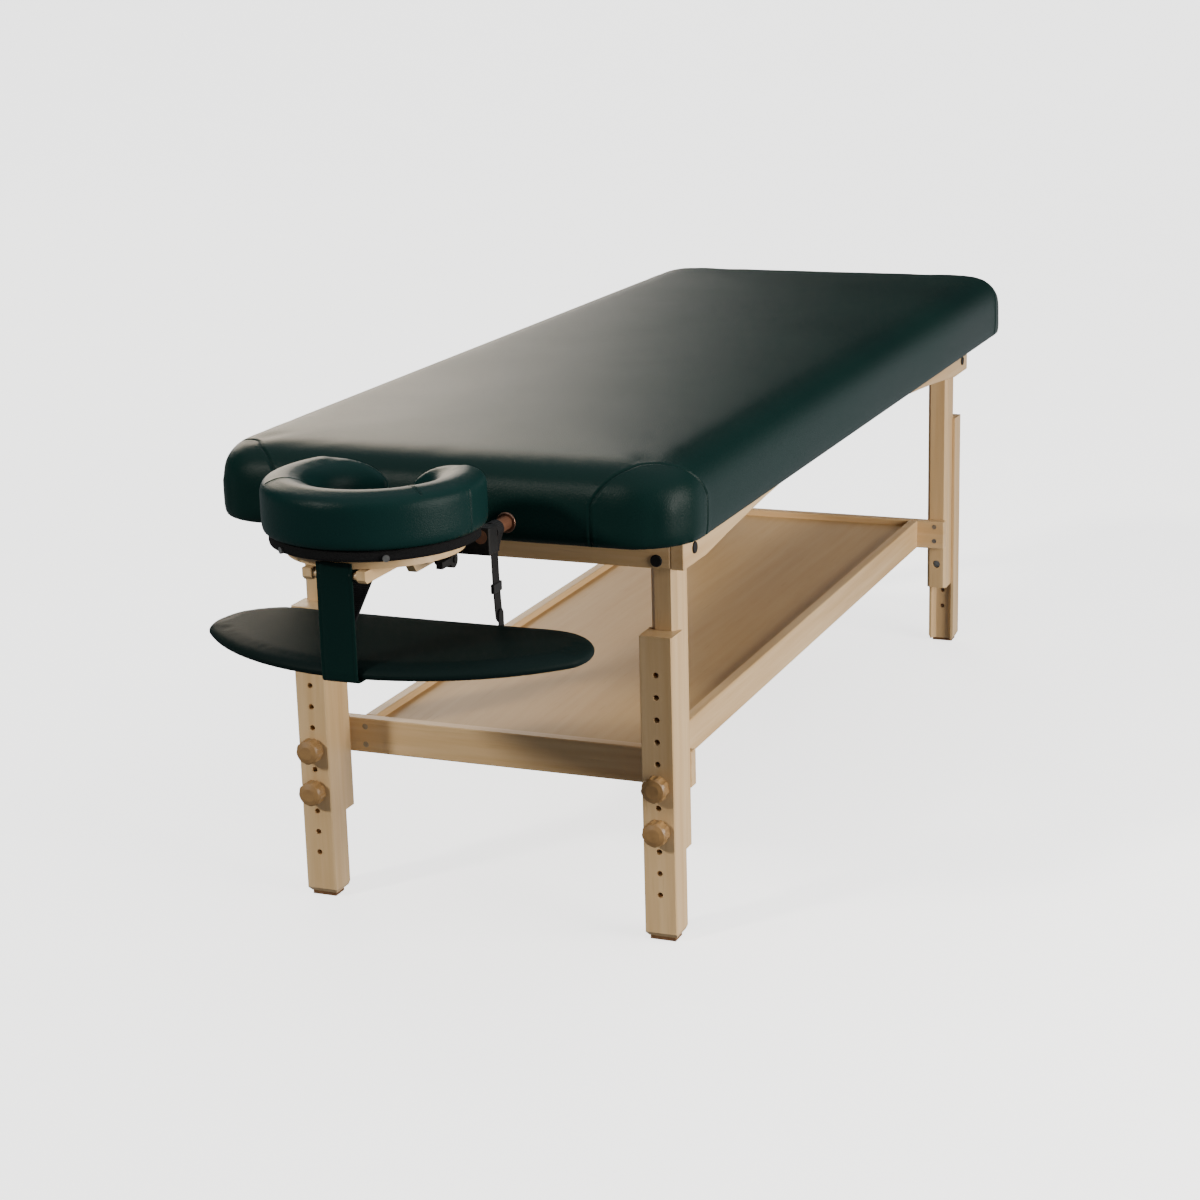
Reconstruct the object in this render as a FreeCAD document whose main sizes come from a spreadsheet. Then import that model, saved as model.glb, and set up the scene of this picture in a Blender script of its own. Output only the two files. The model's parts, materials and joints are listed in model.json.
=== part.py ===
"""Massage table: padded top on a wooden frame, legs in two telescoping parts, a low shelf,
a face rest on two rods and a padded arm sling below it.

Millimetres, +Z up, floor at zero, head end towards -Y. Rules for lengths are written in plain size names.
"""
import FreeCAD, Part
import math
import os
import re

import Sketcher

os.makedirs("parts", exist_ok=True)
doc = FreeCAD.newDocument("MassageTable")
sheet = doc.addObject("Spreadsheet::Sheet", "Dims")
Vector = FreeCAD.Vector

# Every independent size, written once.
SIZES = [
    ("pad_width", 711, "padded top, across"),
    ("pad_length", 1854, "padded top, head to foot"),
    ("pad_thick", 103, "padded top, underside to the middle of its crown"),
    ("pad_corner", 84, "plan radius of its corners"),
    ("pad_roll", 50, "rounding of its upper edge"),
    ("pad_crown", 5, "rise from the rolled edge to the middle"),
    ("pad_tuck", 7, "how far the cover draws in at the lower edge"),
    ("pad_wall", 20.5, "soft wall outside the deck"),
    ("snug_gap", 0.1, "gap round a piece that is wrapped or pushed on"),
    ("cut_past", 1, "how far a cut reaches past a face, so that it comes out clean"),
    ("soft_gap", 0.4, "gap between a soft piece and the wood inside it"),
    ("deck_depth", 38, "height of the wood frame inside the top"),
    ("deck_member", 40, "width of its side, foot and cross members"),
    ("block_past", 5.5, "how far the block that takes the rods reaches past the end rail below it"),
    ("foot_block_past", 4, "how far the block at the foot reaches past the round corners of the deck"),
    ("deck_panel_thick", 9, "panel under the foam"),
    ("rail_top", 610, "floor to the top of the rails"),
    ("rail_depth", 69, "side rail height at its ends"),
    ("rail_thick", 20, "side rail thickness"),
    ("end_rail_depth", 68.5, "end rail height"),
    ("end_rail_thick", 19, "end rail thickness"),
    ("end_overhang", 136, "padded top beyond the rails at each end"),
    ("side_overhang", 46.5, "padded top beyond the rails at each side"),
    ("arch_foot", 92, "straight part at each end of a side rail"),
    ("arch_rise", 39, "rise of the arch below a side rail"),
    ("edge_ease", 1.5, "bevel on the edges of the wood"),
    ("leg_width", 38, "upper leg, across"),
    ("leg_depth", 51, "upper leg, along the table"),
    ("leg_clear", 121, "floor to the upper leg"),
    ("leg_bevel", 7, "bevel on its outward edges"),
    ("leg_back_bevel", 5.5, "bevel on its inward edges"),
    ("ext_width", 48, "leg extension, across"),
    ("ext_web", 33.3, "its thickness outside the upper leg"),
    ("ext_lip", 11, "how far its lips reach along the upper leg"),
    ("ext_height", 448.7, "floor to its top"),
    ("ext_bevel", 8, "bevel at its foot, outward side"),
    ("ext_side_bevel", 3.5, "bevel at its foot, left and right"),
    ("slide_gap", 0.4, "gap all round the upper leg"),
    ("hole_first", 54.8, "extension top to the top hole"),
    ("hole_last", 70.6, "floor to the lowest hole"),
    ("hole_gap", 0.6, "how much wider a hole is than its bolt"),
    ("foot_thick", 5, "foot pad height"),
    ("foot_width", 38, "foot pad, across"),
    ("foot_depth", 26, "foot pad, along the table"),
    ("bolt_width", 8, "leg bolt"),
    ("bolt_head_width", 13, "leg bolt head"),
    ("bolt_head_thick", 5, "leg bolt head"),
    ("bolt_sink_width", 15, "sinking for the head in the upper leg"),
    ("bolt_sink", 8, "depth of that sinking"),
    ("knob_width", 37, "knob"),
    ("knob_thick", 24, "knob"),
    ("knob_bore", 16, "depth of the bolt hole in a knob"),
    ("bolt_short", 1, "how far a leg bolt stops short of the end of that hole"),
    ("flute_width", 17, "round cutter for the hollows round a knob"),
    ("flute_deep", 1.6, "depth of those hollows"),
    ("turn_gap", 0.3, "gap between pieces that turn on each other"),
    ("frame_bolt_width", 6, "frame bolt"),
    ("frame_head_width", 17, "frame bolt head"),
    ("frame_head_thick", 2.4, "frame bolt head"),
    ("insert_width", 10, "threaded insert"),
    ("insert_length", 14, "threaded insert"),
    ("side_bolt_in", 42, "frame end to a side bolt"),
    ("side_bolt_drop", 46, "rail top to a side bolt"),
    ("end_bolt_in", 40, "frame side to an end bolt"),
    ("end_bolt_drop", 57.5, "rail top to an end bolt"),
    ("shelf_drop", 28.9, "upper leg bolt to the underside of the shelf"),
    ("shelf_depth", 53.2, "shelf rail height"),
    ("shelf_end_thick", 19, "shelf end rail thickness"),
    ("shelf_rail_thick", 18, "shelf side rail thickness"),
    ("shelf_rail_in", 51.7, "upper leg to the shelf side rail"),
    ("shelf_panel_thick", 9, "shelf panel"),
    ("shelf_recess", 11, "shelf panel below the rails"),
    ("cleat_width", 16, "cleat under the shelf panel"),
    ("screw_width", 4.5, "shelf screw"),
    ("screw_head", 9, "shelf screw head"),
    ("screw_length", 40, "shelf screw"),
    ("screw_apart", 14, "leg bolt to the screws beside it"),
    ("rod_width", 19, "face rest rod"),
    ("rod_apart", 220, "middle to middle of the rods"),
    ("rod_rise", 18, "rail top to the middle of a rod"),
    ("rod_short", 3.5, "how far a rod stops short of the inner end of its sleeve"),
    ("sleeve_gap", 0.2, "gap round a rod in its sleeve"),
    ("sleeve_wall", 1.4, "sleeve wall"),
    ("ring_width", 28, "ring round a rod on the head face"),
    ("ring_out", 4, "how far that ring stands out"),
    ("bar_out", 58, "head face to the cross bar"),
    ("bar_width", 26, "cross bar, along the table"),
    ("bar_length", 246, "cross bar, across"),
    ("bar_low", 25, "rod to the underside of the cross bar"),
    ("bar_high", 12, "rod to the top of the cross bar"),
    ("arm_apart", 76, "middle to middle of the arms"),
    ("arm_thick", 12, "arm"),
    ("arm_depth", 36, "arm at its deep part"),
    ("arm_nose", 16, "arm at its shallow front"),
    ("arm_deep_long", 48, "tilt pivot to the front of the deep part"),
    ("arm_short", 28.6, "front of the cushion to the front of an arm"),
    ("arm_gap", 0.8, "gap between an arm and the platform"),
    ("arm_relief", 4, "behind the pivot, where the top of an arm starts to slope for the tilted platform"),
    ("arm_slope", 2, "how far that slope drops to the cross bar"),
    ("face_out", 311, "head face to the front of the face cushion"),
    ("face_radius", 148, "face cushion, half its width"),
    ("face_hole", 70, "half the width of its opening"),
    ("face_long", 235, "face cushion, its front to its ends"),
    ("face_split", 18, "half the gap between its ends"),
    ("face_nose", 12, "least thickness of an end in plan"),
    ("face_corner", 30, "rounding of the corners by the table in plan"),
    ("face_thick", 75, "face cushion"),
    ("face_roll", 16, "rounding of its outer upper edge"),
    ("face_flare", 30, "how far the opening widens towards the top"),
    ("face_flare_deep", 40, "height over which it widens"),
    ("face_crown", 3, "rise from the rolled edge"),
    ("face_crown_in", 5, "how far the crown is drawn in from the rolled edges"),
    ("face_tuck", 5, "how far its cover draws in below"),
    ("hook_thick", 19, "hook band below the face cushion"),
    ("hook_in", 11, "how far the band is set in"),
    ("hook_short", 23, "ends of the cushion to the ends of the band"),
    ("platform_thick", 9, "platform"),
    ("platform_in", 32.8, "how far the platform is set in"),
    ("platform_short", 22, "ends of the cushion to the ends of the platform"),
    ("platform_drop", 1, "middle of a rod down to the underside of the platform"),
    ("plate_hole_more", 2, "how much further the opening reaches in the platform and the band"),
    ("stud_width", 9, "snap stud"),
    ("stud_thick", 3, "snap stud"),
    ("pivot_in", 10, "ends of the platform to the tilt pivot"),
    ("pivot_drop", 25, "platform to the tilt pivot"),
    ("pin_width", 8, "tilt pin"),
    ("lug_thick", 14, "platform lug"),
    ("lug_gap", 14, "arm to platform lug"),
    ("cam_gap", 2, "platform lug to cam lever, and pin beyond it"),
    ("lug_radius", 9, "platform lug, round the pin"),
    ("cam_radius", 11, "cam lever, round the pin"),
    ("cam_thick", 9, "cam lever"),
    ("cam_length", 36, "cam lever, pin to its end"),
    ("cam_grip", 9, "cam lever, height of its grip"),
    ("dowel_width", 10, "sling dowel"),
    ("dowel_drop", 9, "platform to the middle of a sling dowel"),
    ("dowel_back_in", 105, "tilt pivot to the rear sling dowel"),
    ("strap_in", 30.8, "front of the cushion to the front strap"),
    ("strap_width", 51, "front strap"),
    ("strap_thick", 2.4, "front strap"),
    ("stay_drop", 14, "front strap's upper pivot to the stay sewn to it"),
    ("web_width", 20, "rear strap and loop"),
    ("web_thick", 2.2, "rear strap and loop"),
    ("web_out", 43, "head face to a rear strap"),
    ("hang_gap", 0.8, "gap at the ends of a strap"),
    ("sling_drop", 126, "rod to the top of the sling"),
    ("sling_thick", 20, "sling"),
    ("sling_back", 33, "head face to the sling"),
    ("sling_half", 268, "half the length of the sling"),
    ("sling_back_half", 205, "half the length of its straight edge"),
    ("sling_turn", 118, "straight edge to where the front curve starts"),
    ("sling_edge_gap", 0.6, "gap between the sling and the front strap"),
    ("sling_strap_low", 3.25, "sling top to the lower pivot of the front strap"),
    ("core_thick", 6, "plywood in the sling"),
    ("core_in", 9, "how far the plywood is set in"),
]
HOLE_COUNT = 11
HIGH_BOLT_HOLE = 5
LOW_BOLT_HOLE = 7
FLUTE_COUNT = 9
STUD_TURN = 58  # degrees round the face cushion from its side to a snap stud
ROLL_TURNS = range(0, 91, 15)  # degrees round a rolled edge where the face cushion has a section
CORNER_FULL = 0.4  # how far a round corner reaches from its chord towards its point

# Sizes that follow from others.
TIED = {
    "table_y": "face_out / 2",
    "head_y": "pad_length / 2",
    "deck_half": "pad_width / 2 - pad_wall",
    "deck_end": "pad_length / 2 - pad_wall",
    "deck_top": "rail_top + deck_depth",
    "deck_corner": "pad_corner - pad_wall",
    "foot_block": "deck_corner + foot_block_past",
    "frame_end": "pad_length / 2 - end_overhang",
    "frame_side": "pad_width / 2 - side_overhang",
    "head_block": "end_overhang - pad_wall + end_rail_thick + block_past",
    "rod_inside": "pad_wall + head_block - rod_short",
    "rail_low": "rail_top - rail_depth",
    "arch_half": "frame_end - arch_foot",
    "arch_radius": "(arch_half * arch_half + arch_rise * arch_rise) / (2 * arch_rise)",
    "leg_outer": "frame_side - rail_thick",
    "leg_mid": "leg_outer - leg_width / 2",
    "leg_front": "frame_end - end_rail_thick",
    "leg_back": "leg_front - leg_depth",
    "ext_front": "slide_gap + ext_web",
    "ext_half": "ext_width / 2",
    "groove_half": "leg_width / 2 + slide_gap",
    "groove_step": "slide_gap * (sqrt(2) - 1)",
    "hole_pitch": "(ext_height - hole_first - hole_last) / %d" % (HOLE_COUNT - 1),
    "bolt_high": "ext_height - hole_first - %d * hole_pitch" % HIGH_BOLT_HOLE,
    "bolt_low": "ext_height - hole_first - %d * hole_pitch" % LOW_BOLT_HOLE,
    "shelf_low": "bolt_high - shelf_drop",
    "shelf_top": "shelf_low + shelf_depth",
    "shelf_end_back": "leg_back - shelf_end_thick",
    "shelf_side": "leg_outer - shelf_rail_in",
    "panel_half": "shelf_side - shelf_rail_thick",
    "panel_low": "shelf_top - shelf_recess - shelf_panel_thick",
    "rod_z": "rail_top + rod_rise",
    "rod_half": "rod_apart / 2",
    "sleeve_radius": "rod_width / 2 + sleeve_gap + sleeve_wall",
    "platform_low": "rod_z - platform_drop",
    "hook_low": "platform_low + platform_thick",
    "face_low": "hook_low + hook_thick",
    "face_back": "face_out - face_long",
    "hook_back": "face_back + hook_short",
    "platform_back": "face_back + platform_short",
    "pivot_out": "platform_back + pivot_in",
    "arm_deep_out": "pivot_out + arm_deep_long",
    "arm_out": "face_out - arm_short",
    "dowel_back_out": "pivot_out + dowel_back_in",
    "strap_out": "face_out - strap_in",
    "face_y": "-(head_y + face_out - face_radius)",
    "pivot_y": "-(head_y + pivot_out)",
    "pivot_z": "platform_low - pivot_drop",
    "arm_in": "arm_apart / 2 - arm_thick / 2",
    "arm_top": "platform_low - arm_gap",
    "lug_in": "arm_apart / 2 + arm_thick / 2 + lug_gap",
    "cam_in": "lug_in + lug_thick + cam_gap",
    "strap_y": "-(head_y + strap_out)",
    "dowel_ring": "dowel_width / 2 + snug_gap + strap_thick",
    "dowel_y": "strap_y - strap_thick / 2 + dowel_ring",
    "dowel_z": "platform_low - dowel_drop",
    "sling_top": "rod_z - sling_drop",
    "sling_low": "sling_top - sling_thick",
    "loop_radius": "rod_width / 2 + snug_gap + web_thick",
    "web_high": "rod_z - loop_radius - hang_gap - web_width / 2",
    "web_low": "sling_top + hang_gap + web_width / 2",
    "web_y": "-(head_y + web_out)",
    "strap_low": "sling_top - sling_strap_low",
    "strap_high": "strap_low + web_high - web_low",
    "sling_back_y": "-(head_y + sling_back)",
    "sling_front_y": "strap_y + strap_thick / 2 + sling_edge_gap",
}
NAMES = set()
for row, (name, value, note) in enumerate(SIZES, start=1):
    sheet.set("A%d" % row, name)
    sheet.set("B%d" % row, str(value))
    sheet.setAlias("B%d" % row, name)
    sheet.set("C%d" % row, note)
    NAMES.add(name)
doc.recompute()


def bind(rule):
    """A rule in plain size names, with each name pointed at the sheet."""
    def point(match):
        name = match.group()
        if name in TIED:
            return "(" + bind(TIED[name]) + ")"
        return "Dims." + name if name in NAMES else name
    return re.sub(r"[a-z_]+", point, rule)


def num(rule):
    return float(sheet.evalExpression(bind(rule)))


def signed(sign, rule):
    return rule if sign > 0 else "-(" + rule + ")"


nodes = []


def node(thing, label):
    """Names a finished piece, so that it gets its own file."""
    thing.Label = label
    nodes.append(thing)
    return thing


def place(thing, across="0", along="0", up="0"):
    """Puts a piece in the table's frame: `along` counts from the middle of the padded top."""
    thing.setExpression("Placement.Base.x", bind(across))
    thing.setExpression("Placement.Base.y", bind("table_y + (" + along + ")"))
    thing.setExpression("Placement.Base.z", bind(up))
    return thing


def fixed(shape, label):
    """A piece made straight from a shape drawn in the table's frame."""
    thing = doc.addObject("Part::Feature", label)
    thing.Shape = shape
    place(thing)
    return node(thing, label)


def box(label, across, along, up, wide, long, high):
    thing = doc.addObject("Part::Box", label)
    thing.setExpression("Length", bind(wide))
    thing.setExpression("Width", bind(long))
    thing.setExpression("Height", bind(high))
    return place(thing, across, along, up)


TURNS = {"x": (Vector(0, 1, 0), 90), "y": (Vector(1, 0, 0), -90), "z": (Vector(0, 0, 1), 0)}


def cylinder(label, axis, across, along, up, radius, length):
    thing = doc.addObject("Part::Cylinder", label)
    thing.setExpression("Radius", bind(radius))
    thing.setExpression("Height", bind(length))
    thing.Placement.Rotation = FreeCAD.Rotation(*TURNS[axis])
    return place(thing, across, along, up)


def drill(label, base, tools):
    """The base with every tool cut out of it."""
    group = doc.addObject("Part::Compound", label + "_tools")
    group.Links = tools
    cut = doc.addObject("Part::Cut", label + "_cut")
    cut.Base = base
    cut.Tool = group
    return node(cut, label)


def new_body(label):
    return doc.addObject("PartDesign::Body", label + "_body")


def new_sketch(body, plane):
    sketch = body.newObject("Sketcher::SketchObject", body.Name + "_sketch")
    origin = next(item for item in body.Origin.OriginFeatures if item.Role == plane)
    sketch.AttachmentSupport = [(origin, "")]
    sketch.MapMode = "FlatFace"
    return sketch


def hold(sketch, shape, point, across, up):
    """Holds one point of a sketch at two rules, counted from the sketch's origin."""
    for kind, line, rule in (("DistanceX", -2, across), ("DistanceY", -1, up)):
        if rule == "0":
            sketch.addConstraint(Sketcher.Constraint("PointOnObject", shape, point, line))
        else:
            number = sketch.addConstraint(Sketcher.Constraint(kind, -1, 1, shape, point, num(rule)))
            sketch.setExpression("Constraints[%d]" % number, bind(rule))


def outline(body, plane, corners, arcs=None):
    """Closed sketch through corners given as pairs of rules.

    `arcs` maps the number of a side to its radius rule and its turn, +1 for one that runs anticlockwise."""
    arcs = arcs or {}
    sketch = new_sketch(body, plane)
    points = [Vector(num(across), num(up), 0) for across, up in corners]
    starts = []
    ends = []
    for number, first in enumerate(points):
        second = points[(number + 1) % len(points)]
        if number not in arcs:
            sketch.addGeometry(Part.LineSegment(first, second))
            starts.append((number, 1))
            ends.append((number, 2))
            continue
        radius = num(arcs[number][0])
        turn = arcs[number][1]
        chord = second - first
        rise = math.sqrt(max(radius ** 2 - chord.Length ** 2 / 4, 0))
        centre = (first + second) / 2 + Vector(-chord.y, chord.x, 0).normalize() * rise * turn
        low, high = (first, second) if turn > 0 else (second, first)
        angles = [math.atan2(point.y - centre.y, point.x - centre.x) for point in (low, high)]
        if angles[1] < angles[0]:
            angles[1] += 2 * math.pi
        circle = Part.Circle(centre, Vector(0, 0, 1), radius)
        sketch.addGeometry(Part.ArcOfCircle(circle, angles[0], angles[1]))
        starts.append((number, 1 if turn > 0 else 2))
        ends.append((number, 2 if turn > 0 else 1))
    for number, end in enumerate(ends):
        start = starts[(number + 1) % len(points)]
        sketch.addConstraint(Sketcher.Constraint("Coincident", end[0], end[1], start[0], start[1]))
    for start, corner in zip(starts, corners):
        hold(sketch, start[0], start[1], corner[0], corner[1])
    for number, (rule, turn) in arcs.items():
        index = sketch.addConstraint(Sketcher.Constraint("Radius", number, num(rule)))
        sketch.setExpression("Constraints[%d]" % index, bind(rule))
    return sketch


def pad(body, sketch, length):
    """Thickens a sketch along its plane's own direction: +Z, -Y or +X."""
    feature = body.newObject("PartDesign::Pad", body.Name + "_pad")
    feature.Profile = sketch
    feature.setExpression("Length", bind(length))
    body.Tip = feature
    doc.recompute()
    return feature


def pocket(body, sketch):
    """Cuts a sketch right through the body, both ways."""
    feature = body.newObject("PartDesign::Pocket", body.Name + "_pocket")
    feature.Profile = sketch
    feature.Type = "ThroughAll"
    feature.SideType = "Symmetric"
    body.Tip = feature
    doc.recompute()
    return feature


def ring_sketch(body, plane, across, up, radius):
    sketch = new_sketch(body, plane)
    centre = Vector(num(across), num(up), 0)
    sketch.addGeometry(Part.Circle(centre, Vector(0, 0, 1), num(radius)))
    hold(sketch, 0, 3, across, up)
    index = sketch.addConstraint(Sketcher.Constraint("Radius", 0, num(radius)))
    sketch.setExpression("Constraints[%d]" % index, bind(radius))
    return sketch


def ease(body, feature, size="edge_ease"):
    """Bevels every edge of a plain piece of wood."""
    bevel = body.newObject("PartDesign::Chamfer", body.Name + "_ease")
    bevel.Base = (feature, ["Face%d" % (index + 1) for index in range(len(feature.Shape.Faces))])
    bevel.setExpression("Size", bind(size))
    body.Tip = bevel
    doc.recompute()
    return bevel


def board(label, across, along, up, wide, long, high):
    """A straight piece of wood with eased edges."""
    body = new_body(label)
    block = body.newObject("PartDesign::AdditiveBox", body.Name + "_block")
    block.setExpression("Length", bind(wide))
    block.setExpression("Width", bind(long))
    block.setExpression("Height", bind(high))
    doc.recompute()
    ease(body, block)
    return place(body, across, along, up)


# Padded top. Rounded rectangles are lofted from the tucked lower edge, round the roll, to the crown.
def rounded_rectangle(half_wide, half_long, radius, height):
    corners = [(1, -1, -90), (1, 1, 0), (-1, 1, 90), (-1, -1, 180)]
    arcs = []
    for side, end, start in corners:
        centre = Vector(side * (half_wide - radius), end * (half_long - radius), height)
        spots = []
        for turn in (0, 45, 90):
            angle = math.radians(start + turn)
            spots.append(centre + Vector(radius * math.cos(angle), radius * math.sin(angle), 0))
        arcs.append(Part.Arc(*spots).toShape())
    edges = []
    for number, arc in enumerate(arcs):
        following = arcs[(number + 1) % len(arcs)]
        edges.append(arc)
        edges.append(Part.makeLine(arc.Vertexes[-1].Point, following.Vertexes[0].Point))
    return Part.Wire(edges)


def rolled(thick, roll, crown, tuck, steps):
    """Heights and insets up the side of a cushion: tucked below, upright, then rolled over to the crown."""
    rows = [(0, tuck), (tuck * 0.45, tuck * 0.42), (tuck * 1.3, tuck * 0.08), (tuck * 2.2, 0)]
    base = thick - crown - roll
    for step in range(steps + 1):
        angle = math.radians(90 * step / steps)
        rows.append((base + roll * math.sin(angle), roll * (1 - math.cos(angle))))
    return rows


pad_rows = rolled(num("pad_thick"), num("pad_roll"), num("pad_crown"), num("pad_tuck"), 6)
pad_rows.append((num("pad_thick - pad_crown * 0.35"), num("pad_width * 0.18")))
pad_rows.append((num("pad_thick"), num("pad_width * 0.36")))
sections = []
for height, inset in pad_rows:
    sections.append(rounded_rectangle(num("pad_width / 2") - inset, num("pad_length / 2") - inset,
                                      max(num("pad_corner") - inset, num("pad_corner / 5")),
                                      num("rail_top") + height))
pad_form = doc.addObject("Part::Feature", "pad_form")
pad_form.Shape = Part.makeLoft(sections, True, True)
place(pad_form)


def deck_plan(grow, low, high):
    """Upright block in the plan of the deck, grown all round; its corners keep the wall of the pad even."""
    wire = rounded_rectangle(num("deck_half") + grow, num("deck_end") + grow,
                             num("deck_corner") + grow, num(low))
    return Part.Face(wire).extrude(Vector(0, 0, num(high) - num(low)))


def deck_block(label, along, long):
    """The part of the deck's plan between two places along the table, as high as the deck's members."""
    thing = doc.addObject("Part::Feature", label)
    span = Part.makeBox(num("pad_width"), num(long), num("deck_depth"),
                        Vector(-num("pad_width / 2"), num(along), num("rail_top")))
    thing.Shape = deck_plan(0, "rail_top", "deck_top").common(span)
    return place(thing)


pad_hollow = doc.addObject("Part::Feature", "pad_hollow")
pad_hollow.Shape = deck_plan(num("soft_gap"), "rail_top - cut_past", "deck_top + deck_panel_thick + soft_gap")
place(pad_hollow)
pad_tools = [pad_hollow]
for side, word in ((-1, "left"), (1, "right")):
    pad_tools.append(cylinder("pad_rod_hole_" + word, "y", signed(side, "rod_half"),
                              "-(head_y + cut_past)", "rod_z",
                              "sleeve_radius + soft_gap", "pad_wall + 2 * cut_past"))
    pad_tools.append(cylinder("pad_ring_seat_" + word, "y", signed(side, "rod_half"),
                              "-(head_y + cut_past)", "rod_z",
                              "ring_width / 2 + soft_gap", "cut_past + pad_wall / 3"))
drill("table_cushion", pad_form, pad_tools)

# Wood inside the top.
fixed(deck_plan(0, "deck_top", "deck_top + deck_panel_thick"), "deck_panel")
head_base = deck_block("head_block_base", "-deck_end", "head_block")
head_tools = []
for side, word in ((-1, "left"), (1, "right")):
    head_tools.append(cylinder("head_bore_" + word, "y", signed(side, "rod_half"),
                               "-(deck_end + cut_past)", "rod_z",
                               "sleeve_radius", "head_block + 2 * cut_past"))
drill("deck_head_block", head_base, head_tools)
node(deck_block("deck_foot_block", "deck_end - foot_block", "foot_block"), "deck_foot_block")
members = []
for side, word in ((-1, "left"), (1, "right")):
    members.append(box("deck_side_" + word,
                       "deck_half - deck_member" if side > 0 else "-deck_half",
                       "head_block - deck_end", "rail_top", "deck_member",
                       "2 * deck_end - head_block - foot_block", "deck_depth"))
for number, along in enumerate(("0", "frame_end - end_rail_thick / 2")):
    members.append(box("deck_brace_%d" % number, "-(deck_half - deck_member)", along + " - deck_member / 2",
                       "rail_top", "2 * (deck_half - deck_member)", "deck_member", "deck_depth"))
deck_members = doc.addObject("Part::Compound", "deck_members")
deck_members.Links = members
node(deck_members, "deck_members")


def tube(axis_point, direction, outer, inner, length):
    whole = Part.makeCylinder(outer, length, axis_point, direction)
    return whole.cut(Part.makeCylinder(inner, length, axis_point, direction))


sleeves = []
rings = []
for side in (-1, 1):
    start = Vector(side * num("rod_half"), num("-deck_end"), num("rod_z"))
    sleeves.append(tube(start, Vector(0, 1, 0), num("sleeve_radius"), num("rod_width / 2 + sleeve_gap"),
                        num("head_block")))
    front = Vector(side * num("rod_half"), num("-(head_y + ring_out)"), num("rod_z"))
    ring = tube(front, Vector(0, 1, 0), num("ring_width / 2"), num("rod_width / 2 + soft_gap"),
                num("ring_out + pad_wall / 4"))
    front_edges = [edge for edge in ring.Edges
                   if len(edge.Vertexes) == 1 and abs(edge.CenterOfMass.y - front.y) < 1e-6]
    rings.append(ring.makeFillet(num("ring_out / 3"), front_edges))
fixed(Part.makeCompound(sleeves), "rod_sleeves")
fixed(Part.makeCompound(rings), "rod_rings")

# Rails. The side rails carry the arch, the end rails butt between them.
for side, word in ((-1, "left"), (1, "right")):
    body = new_body("side_rail_" + word)
    rail = outline(body, "YZ_Plane", [
        ("-frame_end", "rail_low"), ("-arch_half", "rail_low"), ("arch_half", "rail_low"),
        ("frame_end", "rail_low"), ("frame_end", "rail_top"), ("-frame_end", "rail_top"),
    ], {1: ("arch_radius", -1)})
    ease(body, pad(body, rail, "rail_thick"))
    place(body, "leg_outer" if side > 0 else "-frame_side")
    tools = []
    for end, end_word in ((-1, "head"), (1, "foot")):
        tools.append(cylinder("side_rail_bore_%s_%s" % (word, end_word), "x",
                              "leg_outer - cut_past" if side > 0 else "-(frame_side + cut_past)",
                              signed(end, "frame_end - side_bolt_in"), "rail_top - side_bolt_drop",
                              "frame_bolt_width / 2 + hole_gap / 2", "rail_thick + 2 * cut_past"))
    drill("side_rail_" + word, body, tools)
for end, word in ((-1, "head"), (1, "foot")):
    body = board("end_rail_" + word, "-leg_outer", "-frame_end" if end < 0 else "leg_front",
                 "rail_top - end_rail_depth", "2 * leg_outer", "end_rail_thick", "end_rail_depth")
    tools = []
    for side, side_word in ((-1, "left"), (1, "right")):
        tools.append(cylinder("end_rail_bore_%s_%s" % (word, side_word), "y",
                              signed(side, "frame_side - end_bolt_in"),
                              "-(frame_end + cut_past)" if end < 0 else "leg_front - cut_past",
                              "rail_top - end_bolt_drop",
                              "frame_bolt_width / 2 + hole_gap / 2", "end_rail_thick + 2 * cut_past"))
    drill("end_rail_" + word, body, tools)

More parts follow.
